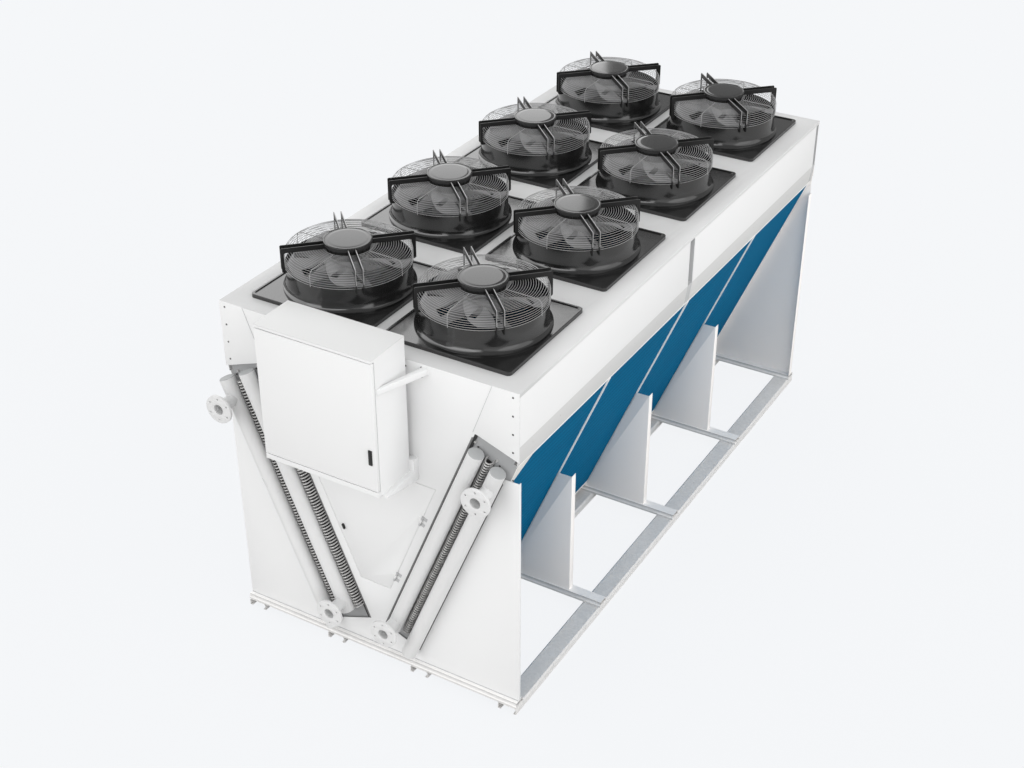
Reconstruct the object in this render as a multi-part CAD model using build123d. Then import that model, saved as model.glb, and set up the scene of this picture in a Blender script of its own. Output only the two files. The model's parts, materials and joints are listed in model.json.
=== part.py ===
from build123d import *
import math
import os

# Sheet steel of the casing, the gap between pieces that only lie close, and the sides of small pins
sheet = 3.0
clearance = 0.3
pin_sides = 8

# Base frame: four long rails under five cross channels
rail_width = 145.0
rail_height = 55.0
rail_count = 4
channel_width = 100.0
channel_height = 42.0
channel_overhang = 38.0
base_gauge = 4.0
base_bend = 12.0
rail_lip = 22.0

# Coils, measured from the lower outer corner of the right one
coil_lean = 22.2
coil_foot_x = 346.0
coil_foot_height = 8.0
coil_length = 2075.0
coil_depth = 350.0
coil_top_gap = 20.0
coil_setback = 12.0
coil_flange = 28.0
coil_end_flange = 35.0
end_plate_rise = 40.0
divider_thickness = 12.0
divider_proud = 8.0

# Slots in the front wall, which let the header pipes out
slot_outer_depths = {"left": 6.0, "right": 35.0}
slot_inner_depth = 335.0
slot_start = 84.0

# Legs of the end walls and the plates between them
leg_drop = 119.0
leg_return = 59.0
support_reach = 878.0
support_height = 1030.0
support_return = 56.0

# Plenum under the fans
side_face_height = 385.0
side_lip_rise = 156.0
corner_plate_height = 501.0
corner_plate_top = 190.0
corner_plate_foot = 332.0
corner_plate_rise = 119.0
corner_plate_gap = 25.0
side_joint_width = 77.0
side_end_gap = 62.0
joint_recess = 40.0
deck_edge = 28.0

# Fans: two columns of four
fan_columns = 2
fan_rows = 4
column_pitch = 1048.0
row_pitch = 1247.0
plate_side = 950.0
plate_height = 28.0
plate_corner = 24.0
plate_end_gap = 139.5
deck_hole_side = 880.0
nozzle_sides = 16
nozzle_radius = 435.0
nozzle_wall = 5.0
nozzle_height = 215.0
flare_radius = 462.0
flare_foot = 50.0
flare_top = 118.0

# Motor and the arms that carry it
cap_radius = 165.0
cap_height = 350.0
cap_thickness = 22.0
motor_top_radius = 150.0
motor_foot_radius = 132.0
motor_foot = 242.0
arm_strip = 6.0
arm_depth = 34.0
arm_gap = 50.0
arm_top = 338.0
shaft_sides = 8
shaft_radius = 30.0
shaft_reach = 90.0
shaft_root = 4.0
shaft_clearance = 0.08
bore_relief = 2.0
cap_sides = 16
motor_sides = 12
arm_count = 4
arm_corner = 26.0

# Rotor: a hub with wide sickle blades, rolled to an arc and pitched
blade_count = 5
hub_sides = 10
hub_radius = 128.0
hub_height = 115.0
hub_top = 235.0
blade_root_radius = 118.0
blade_tip_radius = 416.0
blade_thickness = 6.0
blade_pitch = 22.0
blade_roll_radius = 1100.0
blade_roll_steps = 3
blade_edge_steps = 3
blade_end_steps = 2
blade_middle_height = 213.0
blade_motor_gap = 12.0
blade_front_angles = (-100.0, -83.0, -60.0)
blade_rear_angles = (-24.0, -3.0, -12.0)
blade_middle_angle = -45.0

# Header pipes, flanges and return bends
pipe_sides = 12
pipe_radius = 54.0
pipe_wall = 5.0
pipe_standoff = 60.0
stub_radius = 44.5
stub_bore_radius = 40.0
flange_sides = 20
flange_radius = 102.5
flange_thickness = 20.0
flange_reach = 240.0
flange_bolt_circle = 160.0
flange_bolt_count = 6
flange_bolt_radius = 9.0
outer_depths = {"left": 20.0, "right": 78.0}
inner_depths = {"left": 222.0, "right": 256.0}
outer_pipe_start = 60.0
outer_pipe_ends = {"left": 2055.0, "right": 2005.0}
inner_pipe_start = 190.0
inner_pipe_ends = {"left": 2080.0, "right": 2030.0}
upper_flanges_at = {"left": 1900.0, "right": 1850.0}
lower_flange_at = 275.0
bend_pitch = 116.0
bend_count = 16
bend_start = 215.0
bend_span = 68.0
bend_bar = 15.0
bend_ease = 8.0
bend_reach = 62.0
bend_depths = {"left": (100.0, 300.0), "right": (172.0,)}
feed_count = 4
feed_side = 18.0
feed_margin = 90.0

# Control cabinet on the front wall
cabinet_width = 885.0
cabinet_height = 1000.0
cabinet_depth = 350.0
cabinet_standoff = 50.0
cabinet_left = -522.0
cabinet_drop = 803.0
cabinet_sheet = 3.0
cabinet_door_depth = 22.0
cabinet_door_top_gap = 22.0
cabinet_door_foot_gap = 36.0
door_clearance = 7.0
handle_width = 28.0
handle_height = 111.0
handle_depth = 8.0
handle_inset = 43.0
handle_foot = 193.0
pin_radius = 3.0
pin_inset = 7.0
pin_clearance = 0.08

# Brackets that hold the cabinet off the wall
arm_plate_height = 42.0
arm_plate_gauge = 6.0
arm_plate_drop = 64.0
arm_plate_spread = 94.0
arm_plate_reach = 316.0
shelf_width = 57.0
shelf_overlap = 22.0
shelf_drop = 87.0
shelf_tip = 16.0
shelf_reach = 310.0

# Access door in the front wall, hinged along its right, sloping edge
access_foot = 560.0
access_top = 1540.0
access_half_foot = 122.0
access_clearance = 6.0
access_hinges_at = (690.0, 1250.0)
access_hinge_length = 84.0
access_knuckle_radius = 8.0
access_pin_radius = 4.0
access_leaf_width = 34.0
access_leaf_gauge = 3.0
access_latch_height = 958.0
access_latch_inset = 42.0
access_latch_length = 44.0
access_latch_width = 16.0
access_latch_depth = 14.0

# Places worked out from the dimensions above, from the middle of the whole unit on the ground
lean_sin = math.sin(math.radians(coil_lean))
lean_cos = math.cos(math.radians(coil_lean))
coil_rise = coil_foot_height + coil_length * lean_cos
wall_height = coil_rise + side_lip_rise + side_face_height
leg_height = coil_rise - leg_drop
casing_length = (fan_rows - 1) * row_pitch + plate_side + 2 * plate_end_gap
half_width = coil_foot_x + coil_length * lean_sin + coil_top_gap
casing_shift = (cabinet_standoff + cabinet_depth + handle_depth - channel_overhang) / 2
front_y = casing_shift - casing_length / 2
back_y = casing_shift + casing_length / 2
base_top = rail_height + channel_height
deck_z = base_top + wall_height
coil_foot_z = base_top + coil_foot_height
column_xs = [(i - (fan_columns - 1) / 2) * column_pitch for i in range(fan_columns)]
row_ys = [casing_shift + (i - (fan_rows - 1) / 2) * row_pitch for i in range(fan_rows)]
divider_ys = [(a + b) / 2 for a, b in zip(row_ys, row_ys[1:])]
side_signs = {"left": -1, "right": 1}


def coil_point(along, depth):
    """A point of the right coil's section: along its slope, and inward from its outer face."""
    x = coil_foot_x + along * lean_sin - depth * lean_cos
    z = coil_foot_z + along * lean_cos + depth * lean_sin
    return (x, z)


def section(points, y_start, y_end):
    """A plate or bar with its outline in X and Z, between two values of Y."""
    outline = Plane.XZ.offset(-y_end) * make_face(Polyline(*points, close=True))
    return extrude(outline, amount=y_end - y_start)


def along_y(profile, y_start, y_end):
    """A rail of constant profile along Y; the profile's own Y is up."""
    return extrude(Plane.XZ.offset(-y_end) * profile, amount=y_end - y_start)


def along_x(profile, x_start, x_end):
    """A rail of constant profile along X; the profile's own Y is up."""
    return extrude(Plane.YZ.offset(x_start) * profile, amount=x_end - x_start)


def block(x, y, z):
    """A box between two values on each axis."""
    middle = [(low + high) / 2 for low, high in (x, y, z)]
    return Pos(*middle) * Box(x[1] - x[0], y[1] - y[0], z[1] - z[0])


def on_side(shape, sign):
    """The right-hand shape itself, or its mirror image on the left."""
    return shape if sign > 0 else mirror(shape, about=Plane.YZ)


def pin_outline(radius, sides=pin_sides):
    """Outline of a pin or shaft with many flat sides."""
    return RegularPolygon(radius, sides)


def bore_outline(radius, gap, sides=pin_sides):
    """Outline of a pin's bore: its flats stand over the pin's corners, clear of them by a gap."""
    half_step = 180 / sides
    return RegularPolygon((radius + gap) / math.cos(math.radians(half_step)), sides, rotation=half_step)


def folded_channel(width, height):
    """Profile of a channel lying on its two legs, with its web on top and eased bends."""
    outer = Pos(0, height / 2) * Rectangle(width, height)
    outer = chamfer(outer.vertices().group_by(Axis.Y)[-1], base_bend)
    inner = Pos(0, (height - base_gauge) / 2) * Rectangle(width - 2 * base_gauge, height - base_gauge)
    inner = chamfer(inner.vertices().group_by(Axis.Y)[-1], base_bend - base_gauge)
    return outer - inner


def base_rails():
    """Long rails on the ground, the outer two flush with the casing's sides, on inward lips."""
    profile = folded_channel(rail_width, rail_height)
    for side in (-1, 1):
        middle = side * (rail_width - rail_lip) / 2
        profile += Pos(middle, base_gauge / 2) * Rectangle(rail_lip, base_gauge)
    reach = half_width - rail_width / 2
    xs = [-reach + i * 2 * reach / (rail_count - 1) for i in range(rail_count)]
    ends = (front_y - channel_overhang, back_y + channel_overhang)
    return Compound([along_y(Pos(x, 0) * profile, *ends) for x in xs])


def channel_ys():
    """Middle lines of the cross channels: under both end walls and under each support plate."""
    inset = channel_width / 2 - channel_overhang
    return [front_y + inset, *divider_ys, back_y - inset]


def cross_channels():
    """Channels across the rails, whose webs carry the walls, the plates and the coils."""
    profile = folded_channel(channel_width, channel_height)
    return Compound([along_x(Pos(y, rail_height) * profile, -half_width, half_width) for y in channel_ys()])


def plenum_floor_line():
    """Hidden edge of an end wall behind the corner plate, from the slot out to the side."""
    slot_x, slot_z = coil_point(coil_length + corner_plate_gap, slot_inner_depth)
    return [(slot_x, slot_z), (half_width - sheet, deck_z - corner_plate_height + corner_plate_gap)]


def front_wall_outline(slot_outer_depth):
    """Right half of a front wall, with its slot for the header pipes open at the top."""
    tip_along = (leg_height - coil_foot_height - slot_outer_depth * lean_sin) / lean_cos
    return [
        (0, base_top),
        (half_width, base_top),
        (half_width, base_top + leg_height),
        coil_point(tip_along, slot_outer_depth),
        coil_point(slot_start, slot_outer_depth),
        coil_point(slot_start, slot_inner_depth),
        *plenum_floor_line(),
        (half_width - sheet, deck_z - sheet),
        (0, deck_z - sheet),
    ]


def leg_returns(y_start, y_end):
    """Flanges folded back along the outer edges of an end wall's two legs."""
    right = block((half_width - sheet, half_width), (y_start, y_end), (base_top, base_top + leg_height))
    return right + mirror(right, about=Plane.YZ)


def access_outline(margin):
    """The access door's trapezoid, or the hole around it with a margin."""
    slope = lean_sin / lean_cos
    low = access_foot - margin
    high = access_top + margin
    half_low = access_half_foot - margin * slope + margin / lean_cos
    half_high = half_low + (high - low) * slope
    z_low = base_top + low
    z_high = base_top + high
    return [(-half_low, z_low), (half_low, z_low), (half_high, z_high), (-half_high, z_high)]


def front_wall():
    """Front end wall: legs, header slots and the hole for the access door."""
    wall = leg_returns(front_y, front_y + leg_return)
    for side, sign in side_signs.items():
        half = section(front_wall_outline(slot_outer_depths[side]), front_y, front_y + sheet)
        wall += on_side(half, sign)
    return wall - section(access_outline(access_clearance), front_y - 1, front_y + 2 * sheet)


def back_wall():
    """Back end wall: closed, with the same legs."""
    outer = coil_point(coil_length + corner_plate_gap, 0)
    right = section(
        [
            (0, base_top),
            (half_width, base_top),
            (half_width, base_top + leg_height),
            (outer[0], base_top + leg_height),
            (outer[0], deck_z - corner_plate_height),
            (half_width - sheet, deck_z - corner_plate_height),
            (half_width - sheet, deck_z - sheet),
            (0, deck_z - sheet),
        ],
        back_y - sheet,
        back_y,
    )
    wall = right + mirror(right, about=Plane.YZ)
    return wall + leg_returns(back_y - leg_return, back_y)


def corner_plate(sign):
    """Cover over the upper corner of the front wall, above the slot."""
    foot = deck_z - corner_plate_height
    plate = section(
        [
            (half_width, foot),
            (half_width, deck_z),
            (half_width - corner_plate_top, deck_z),
            (half_width - corner_plate_foot, foot + corner_plate_rise),
        ],
        front_y - sheet,
        front_y,
    )
    return on_side(plate, sign)


def support_plate(y):
    """Pair of plates on a cross channel that carry the coils, with a return along the edge."""
    front = y - support_return / 2
    top = base_top + support_height
    along_top = (support_height - coil_foot_height) / lean_cos
    plate = section(
        [
            (coil_point(0, -divider_proud - clearance)[0], base_top),
            (support_reach, base_top),
            (support_reach, top),
            coil_point(along_top, -divider_proud - clearance),
        ],
        front,
        front + sheet,
    )
    plate += block((support_reach - sheet, support_reach), (front, front + support_return), (base_top, top))
    return Compound([plate, mirror(plate, about=Plane.YZ)])


def coil_bays():
    """Stretches of fins along Y between the end channels and the dividers of a coil."""
    edges = [front_y + coil_setback + coil_end_flange]
    for y in divider_ys:
        edges += [y - divider_thickness / 2, y + divider_thickness / 2]
    edges.append(back_y - coil_setback - coil_end_flange)
    return list(zip(edges[0::2], edges[1::2]))


def coil_section(margin_end, margin_face, proud=0.0):
    """Outline of a coil, drawn in by a margin at its ends and at its faces."""
    return [
        coil_point(margin_end, margin_face - proud),
        coil_point(coil_length - margin_end, margin_face - proud),
        coil_point(coil_length - margin_end, coil_depth - margin_face),
        coil_point(margin_end, coil_depth - margin_face),
    ]


def coil_fins(sign):
    """Packs of fins, one in each bay."""
    outline = coil_section(sheet, sheet)
    return Compound([on_side(section(outline, low, high), sign) for low, high in coil_bays()])


def end_plate_tongue():
    """Upper stretch of a coil's end plate, past the coil, that closes the gap under the plenum."""
    return [
        coil_point(coil_length - sheet, coil_flange),
        coil_point(coil_length + end_plate_rise, coil_flange),
        coil_point(coil_length + end_plate_rise, coil_depth),
        coil_point(coil_length - sheet, coil_depth),
    ]


def coil_frame(sign):
    """Sheet frame of a coil: end plates, dividers, and channels along its top and bottom."""
    y_start = front_y + coil_setback
    y_end = back_y - coil_setback
    frame = section(coil_section(0, 0), y_start, y_end)
    frame -= section(coil_section(sheet, sheet), y_start - 1, y_end + 1)
    frame -= section(coil_section(coil_flange, -sheet), y_start - 1, y_end + 1)
    for web_y, flange_y in ((y_start, y_start + sheet), (y_end - sheet, y_end - coil_end_flange)):
        flanges = section(coil_section(0, 0), flange_y, flange_y + coil_end_flange - sheet)
        flanges -= section(coil_section(sheet, sheet), flange_y - 1, flange_y + coil_end_flange)
        frame += section(coil_section(0, 0), web_y, web_y + sheet) + flanges
        frame += section(end_plate_tongue(), web_y, web_y + sheet)
    for y in divider_ys:
        frame += section(
            coil_section(0, 0, divider_proud), y - divider_thickness / 2, y + divider_thickness / 2
        )
    return on_side(frame, sign)


def lip_foot():
    """Lower end of a side panel's lip, which rests on the coil frame's upper end."""
    x, z = coil_point(coil_length, 0)
    return [(x, z), (x - sheet, z + sheet * lean_sin / lean_cos)]


def side_outline():
    """Profile of a plenum side: an upright face, and below it a lip that leans in to the coil."""
    face_foot = deck_z - side_face_height
    return [
        (half_width, deck_z - deck_edge),
        (half_width, face_foot),
        *lip_foot(),
        (half_width - sheet, face_foot),
        (half_width - sheet, deck_z - deck_edge),
    ]


def plenum_side(sign):
    """Two side panels with a joint between them, and the post behind each joint."""
    panel_length = (casing_length - sheet - side_joint_width - side_end_gap) / 2
    start = front_y + sheet
    second = start + panel_length + side_joint_width
    panels = [
        section(side_outline(), start, start + panel_length),
        section(side_outline(), second, second + panel_length),
    ]
    return Compound([on_side(panel, sign) for panel in panels])


def joint_posts(sign):
    """Recessed channel posts, seen in the joint at mid-length and at the back corner."""
    panel_length = (casing_length - sheet - side_joint_width - side_end_gap) / 2
    middle = front_y + sheet + panel_length
    spans = [(middle, middle + side_joint_width), (back_y - side_end_gap, back_y - sheet)]
    x_post = half_width - joint_recess
    foot = deck_z - side_face_height
    posts = []
    for low, high in spans:
        post = block((x_post - sheet, x_post), (low, high), (foot, deck_z - sheet))
        post += block((x_post, half_width - sheet), (low, low + sheet), (foot, deck_z - sheet))
        post += block((x_post, half_width - sheet), (high - sheet, high), (foot, deck_z - sheet))
        post += section([(x_post - sheet, foot), (half_width, foot), *lip_foot()], low, high)
        posts.append(on_side(post, sign))
    return Compound(posts)


def fan_deck():
    """Top sheet with a turned-down edge and one hole under each fan."""
    deck = block((-half_width, half_width), (front_y, back_y), (deck_z - sheet, deck_z))
    for sign in side_signs.values():
        edge = block((half_width - sheet, half_width), (front_y, back_y), (deck_z - deck_edge, deck_z - sheet))
        deck += on_side(edge, sign)
    corner = deck_hole_side / 4
    for x in column_xs:
        for y in row_ys:
            hole = chamfer(Rectangle(deck_hole_side, deck_hole_side).vertices(), corner)
            deck -= Pos(x, y, deck_z - 2 * sheet) * extrude(hole, amount=3 * sheet)
    return deck


def round_stack(radii_and_heights, sides):
    """A turned form with many flat sides, lofted from one outline to the next upwards."""
    outlines = [Pos(0, 0, height) * RegularPolygon(radius, sides) for radius, height in radii_and_heights]
    return loft([outline.face() for outline in outlines], ruled=True)


def fan_housing(x, y):
    """Square base plate and the inlet nozzle that stands on it, flared at its foot."""
    plate = extrude(chamfer(Rectangle(plate_side, plate_side).vertices(), plate_corner), amount=plate_height)
    nozzle = round_stack(
        [
            (flare_radius, plate_height / 2),
            (flare_radius, flare_foot),
            (nozzle_radius, flare_top),
            (nozzle_radius, nozzle_height),
        ],
        nozzle_sides,
    )
    throat = RegularPolygon(nozzle_radius - nozzle_wall, nozzle_sides)
    throat = Pos(0, 0, -1) * extrude(throat, amount=nozzle_height + 2)
    return Pos(x, y, deck_z) * (plate + nozzle - throat)


def fan_housings():
    """All eight plates with their nozzles."""
    return Compound([fan_housing(x, y) for x in column_xs for y in row_ys])


def motor_carrier(x, y):
    """Fixed motor with its cap and shaft, on four pairs of strip arms over the nozzle."""
    cap = Pos(0, 0, cap_height - cap_thickness) * extrude(
        RegularPolygon(cap_radius, cap_sides), amount=cap_thickness
    )
    motor = [(motor_foot_radius, motor_foot), (motor_top_radius, cap_height - cap_thickness)]
    carrier = cap + round_stack(motor, motor_sides)
    shaft = extrude(pin_outline(shaft_radius, shaft_sides), amount=shaft_reach + shaft_root)
    carrier += Pos(0, 0, motor_foot - shaft_reach) * shaft
    rim = nozzle_radius
    profile = make_face(
        Polyline(
            (motor_foot_radius, arm_top),
            (rim - arm_corner, arm_top),
            (rim, arm_top - arm_corner),
            (rim, nozzle_height),
            (rim - nozzle_wall, nozzle_height),
            (rim - nozzle_wall, arm_top - arm_depth),
            (motor_foot_radius, arm_top - arm_depth),
            close=True,
        )
    )
    for i in range(arm_count):
        for side in (-1, 1):
            offset = (side * arm_gap + arm_strip) / 2
            strip = Pos(0, offset, 0) * extrude(Plane.XZ * profile, amount=arm_strip)
            carrier += Rot(0, 0, (i + 0.5) * 360 / arm_count) * strip
    return Pos(x, y, deck_z) * carrier


def motor_carriers():
    """The eight fixed motors."""
    return Compound([motor_carrier(x, y) for x in column_xs for y in row_ys])


def polar(radius, angle):
    """A point in plan from its radius and its angle in degrees."""
    return (radius * math.cos(math.radians(angle)), radius * math.sin(math.radians(angle)))


def arc_points(first, middle, last, steps):
    """Corners of a few flat steps along the arc through three points, without the last one."""
    curve = ThreePointArc(first, middle, last)
    return [curve @ (i / steps) for i in range(steps)]


def blade_outline():
    """Sickle outline of a blade in plan: swept front edge, round tip, bowed rear edge."""
    waist = (blade_root_radius + blade_tip_radius) / 2
    radii = (blade_root_radius, waist, blade_tip_radius)
    front = [polar(r, a) for r, a in zip(radii, blade_front_angles)]
    rear = [polar(r, a) for r, a in zip(radii, blade_rear_angles)]
    tip = polar(blade_tip_radius, (blade_front_angles[-1] + blade_rear_angles[-1]) / 2)
    points = arc_points(*front, blade_edge_steps)
    points += arc_points(front[-1], tip, rear[-1], blade_end_steps)
    points += arc_points(*reversed(rear), blade_end_steps)
    return make_face(Polyline(*points, rear[0], close=True))


def rolled_sheet():
    """Sheet along X, rolled to a flat arc across Y with its crown at Z zero."""
    half_turn = math.asin(blade_tip_radius / blade_roll_radius)
    turns = [half_turn * (2 * i / blade_roll_steps - 1) for i in range(blade_roll_steps + 1)]
    crown = [(math.sin(t), math.cos(t)) for t in turns]
    upper = [(blade_roll_radius * y, blade_roll_radius * (z - 1)) for y, z in crown]
    lower = [(y, z - blade_thickness) for y, z in reversed(upper)]
    return extrude(Plane.YZ * make_face(Polyline(*upper, *lower, close=True)), amount=blade_tip_radius)


def blade():
    """A blade: a rolled sheet, pitched, trimmed to the sickle outline and clear of the motor."""
    sheet_roll = Pos(0, 0, blade_middle_height) * Rot(-blade_pitch, 0, 0) * rolled_sheet()
    trimmed = Rot(0, 0, blade_middle_angle) * sheet_roll & extrude(blade_outline(), amount=cap_height)
    above_hub = RegularPolygon(motor_top_radius + blade_motor_gap, motor_sides)
    return trimmed - Pos(0, 0, hub_top) * extrude(above_hub, amount=cap_height)


def fan_rotor(x, y):
    """Turning hub with five blades."""
    hub = extrude(RegularPolygon(hub_radius, hub_sides), amount=hub_height)
    rotor = Pos(0, 0, hub_top - hub_height) * hub
    for i in range(blade_count):
        rotor += Rot(0, 0, i * 360 / blade_count) * blade()
    bore = extrude(bore_outline(shaft_radius, shaft_clearance, shaft_sides), amount=hub_height)
    rotor -= Pos(0, 0, motor_foot - shaft_reach - bore_relief) * bore
    return Pos(x, y, deck_z) * rotor


def feeds(depth, start, end):
    """Short tubes from a right-hand header back into the coil's end plate."""
    low_y = front_y - pipe_standoff + pipe_radius - pipe_wall
    high_y = front_y + coil_setback
    first = start + feed_margin
    pitch = (end - feed_margin - first) / (feed_count - 1)
    tubes = []
    for i in range(feed_count):
        x, z = coil_point(first + i * pitch, depth)
        tube = Pos(x, (low_y + high_y) / 2, z) * Rot(0, coil_lean, 0) * Box(feed_side, high_y - low_y, feed_side)
        tubes.append(tube)
    return tubes


def header_pipe(depth, start, end, flange_at):
    """Right-hand header: a capped pipe along the coil's slope, with a flanged stub towards the front."""
    y_axis = front_y - pipe_standoff
    x0, z0 = coil_point(start, depth)
    axis = Plane(origin=(x0, y_axis, z0), x_dir=(0, 1, 0), z_dir=(lean_sin, 0, lean_cos))
    length = end - start
    pipe = axis * extrude(RegularPolygon(pipe_radius, pipe_sides), amount=length)
    xf, zf = coil_point(flange_at, depth)
    face_y = front_y - flange_reach
    stub_plane = Plane(origin=(xf, face_y, zf), x_dir=(1, 0, 0), z_dir=(0, 1, 0))
    stub_length = flange_reach - pipe_standoff
    pipe += stub_plane * extrude(RegularPolygon(stub_radius, pipe_sides), amount=stub_length)
    flange = extrude(RegularPolygon(flange_radius, flange_sides), amount=flange_thickness)
    bolt = extrude(Circle(flange_bolt_radius), amount=flange_thickness)
    flange -= PolarLocations(flange_bolt_circle / 2, flange_bolt_count, start_angle=30) * bolt
    pipe += stub_plane * flange
    pipe -= stub_plane * extrude(RegularPolygon(stub_bore_radius, pipe_sides), amount=stub_length)
    for tube in feeds(depth, start, end):
        pipe += tube
    return pipe


def return_bends(depths):
    """Right-hand rows of hairpin bends that stand out of the coil's end plate."""
    y_plate = front_y + coil_setback
    half = bend_span / 2
    outline = [
        (-half, 0),
        (bend_ease - half, -bend_reach),
        (half - bend_ease, -bend_reach),
        (half, 0),
        (half - bend_bar, 0),
        (half - bend_bar, bend_bar - bend_reach),
        (bend_bar - half, bend_bar - bend_reach),
        (bend_bar - half, 0),
    ]
    bend = extrude(make_face(Polyline(*outline, close=True)), amount=bend_bar)
    bends = []
    for depth in depths:
        for i in range(bend_count):
            x, z = coil_point(bend_start + i * bend_pitch, depth)
            place = Plane(origin=(x, y_plate, z), x_dir=(lean_cos, 0, -lean_sin), z_dir=(lean_sin, 0, lean_cos))
            bends.append(place * bend)
    return Compound(bends)


def cabinet_box():
    """Z range, X range and Y range of the control cabinet, its door included."""
    x = (cabinet_left, cabinet_left + cabinet_width)
    y = (front_y - cabinet_standoff - cabinet_depth, front_y - cabinet_standoff)
    z = (deck_z - cabinet_drop, deck_z - cabinet_drop + cabinet_height)
    return x, y, z


def door_pin(outline, z_low, z_high):
    """Pin or bore on the cabinet door's hinge line."""
    x, y, z = cabinet_box()
    middle = Pos(x[0] + pin_inset, y[0] + pin_inset, z_low)
    return middle * extrude(outline, amount=z_high - z_low)


def cabinet_body():
    """Open sheet box of the control cabinet, with the door's two hinge pins."""
    x, y, z = cabinet_box()
    front = y[0] + cabinet_door_depth + door_clearance
    body = block(x, (front, y[1]), z)
    body -= block(
        (x[0] + cabinet_sheet, x[1] - cabinet_sheet),
        (front - 1, y[1] - cabinet_sheet),
        (z[0] + cabinet_sheet, z[1] - cabinet_sheet),
    )
    rim = block(x, (y[0], front), (z[1] - cabinet_door_top_gap, z[1]))
    rim += block(x, (y[0], front), (z[0], z[0] + cabinet_door_foot_gap))
    reach = door_clearance + cabinet_sheet
    high = z[1] - cabinet_door_top_gap
    low = z[0] + cabinet_door_foot_gap
    pin = pin_outline(pin_radius)
    return body + rim + door_pin(pin, high - reach, high) + door_pin(pin, low, low + reach)


def cabinet_door():
    """Door of the control cabinet, a shallow tray with its handle."""
    x, y, z = cabinet_box()
    low = z[0] + cabinet_door_foot_gap + door_clearance
    high = z[1] - cabinet_door_top_gap - door_clearance
    door = block(x, (y[0], y[0] + cabinet_door_depth), (low, high))
    door -= block(
        (x[0] + cabinet_sheet, x[1] - cabinet_sheet),
        (y[0] + cabinet_sheet, y[0] + cabinet_door_depth + 1),
        (low + cabinet_sheet, high - cabinet_sheet),
    )
    bore = bore_outline(pin_radius, pin_clearance)
    door -= door_pin(bore, low - 1, low + cabinet_sheet + 1)
    door -= door_pin(bore, high - cabinet_sheet - 1, high + 1)
    handle_x = x[1] - handle_inset
    handle = block(
        (handle_x - handle_width / 2, handle_x + handle_width / 2),
        (y[0] - handle_depth, y[0]),
        (low + handle_foot, low + handle_foot + handle_height),
    )
    return door, handle


def cabinet_hinge_arm(sign):
    """Flat arm from the wall to the side of the cabinet, near its top."""
    x, y, z = cabinet_box()
    side = x[1] if sign > 0 else -x[0]
    z_low = deck_z - arm_plate_drop
    outline = [
        (side, front_y - cabinet_standoff - arm_plate_reach),
        (side + arm_plate_gauge, front_y - cabinet_standoff - arm_plate_reach),
        (side + arm_plate_spread + arm_plate_height, front_y - arm_plate_gauge),
        (side + arm_plate_spread + arm_plate_height, front_y),
        (side + arm_plate_spread, front_y),
        (side, front_y - cabinet_standoff - arm_plate_reach + arm_plate_height),
    ]
    arm = Pos(0, 0, z_low) * extrude(make_face(Polyline(*outline, close=True)), amount=arm_plate_height)
    return on_side(arm, sign)


def cabinet_shelf(sign):
    """Wedge bracket under the lower corner of the cabinet."""
    x, y, z = cabinet_box()
    side = x[1] if sign > 0 else -x[0]
    profile = make_face(
        Polyline(
            (front_y, z[0] - shelf_drop),
            (front_y, z[0] + shelf_drop),
            (front_y - cabinet_standoff, z[0] + shelf_drop),
            (front_y - cabinet_standoff, z[0]),
            (front_y - cabinet_standoff - shelf_reach, z[0]),
            (front_y - cabinet_standoff - shelf_reach, z[0] - shelf_tip),
            close=True,
        )
    )
    return on_side(along_x(profile, side - shelf_overlap, side - shelf_overlap + shelf_width), sign)


def cabinet_brackets():
    """Two arms above and two wedges below."""
    pieces = [cabinet_hinge_arm(s) for s in side_signs.values()]
    pieces += [cabinet_shelf(s) for s in side_signs.values()]
    return Compound(pieces)


def access_hinge_plane(height):
    """Plane across the access door's sloping hinge line, its X towards the wall, at a height."""
    x = access_half_foot + (height - access_foot) * lean_sin / lean_cos
    x += access_clearance / 2 / lean_cos
    y = front_y - access_knuckle_radius - 1
    return Plane(
        origin=(x, y, base_top + height), x_dir=(lean_cos, 0, -lean_sin), z_dir=(lean_sin, 0, lean_cos)
    )


def hinge_leaf(towards_wall, low, high):
    """Leaf of a hinge, flat on the wall or on the door, with the knuckle it ends in."""
    gap = access_clearance / 2
    root = access_knuckle_radius + 1
    leaf = block((gap, access_leaf_width), (root - access_leaf_gauge, root), (low, high))
    web = block((0, gap), (access_pin_radius + 1, root - 1), (low, high))
    web += block((gap - 1, access_knuckle_radius), (0, root - 1), (low, high))
    knuckle = Pos(0, 0, low) * extrude(pin_outline(access_knuckle_radius), amount=high - low)
    piece = leaf + web + knuckle
    return piece if towards_wall else mirror(piece, about=Plane.YZ)


def access_hinges():
    """Wall halves of the two hinges: a leaf, a knuckle at each end and the pin."""
    third = access_hinge_length / 3
    pieces = []
    for height in access_hinges_at:
        hinge = hinge_leaf(True, -1.5 * third, -0.5 * third - clearance)
        hinge += hinge_leaf(True, 0.5 * third + clearance, 1.5 * third)
        hinge += Pos(0, 0, -1.5 * third) * extrude(pin_outline(access_pin_radius), amount=3 * third)
        pieces.append(access_hinge_plane(height) * hinge)
    return Compound(pieces)


def access_door():
    """Trapezoid sheet door in the front wall, with its halves of the hinges."""
    door = section(access_outline(0), front_y, front_y + sheet)
    third = access_hinge_length / 3
    for height in access_hinges_at:
        half = hinge_leaf(False, -0.5 * third, 0.5 * third)
        bore = extrude(bore_outline(access_pin_radius, pin_clearance), amount=2 * third)
        bore = Pos(0, 0, -third) * bore
        door += access_hinge_plane(height) * (half - bore)
    return door


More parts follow.
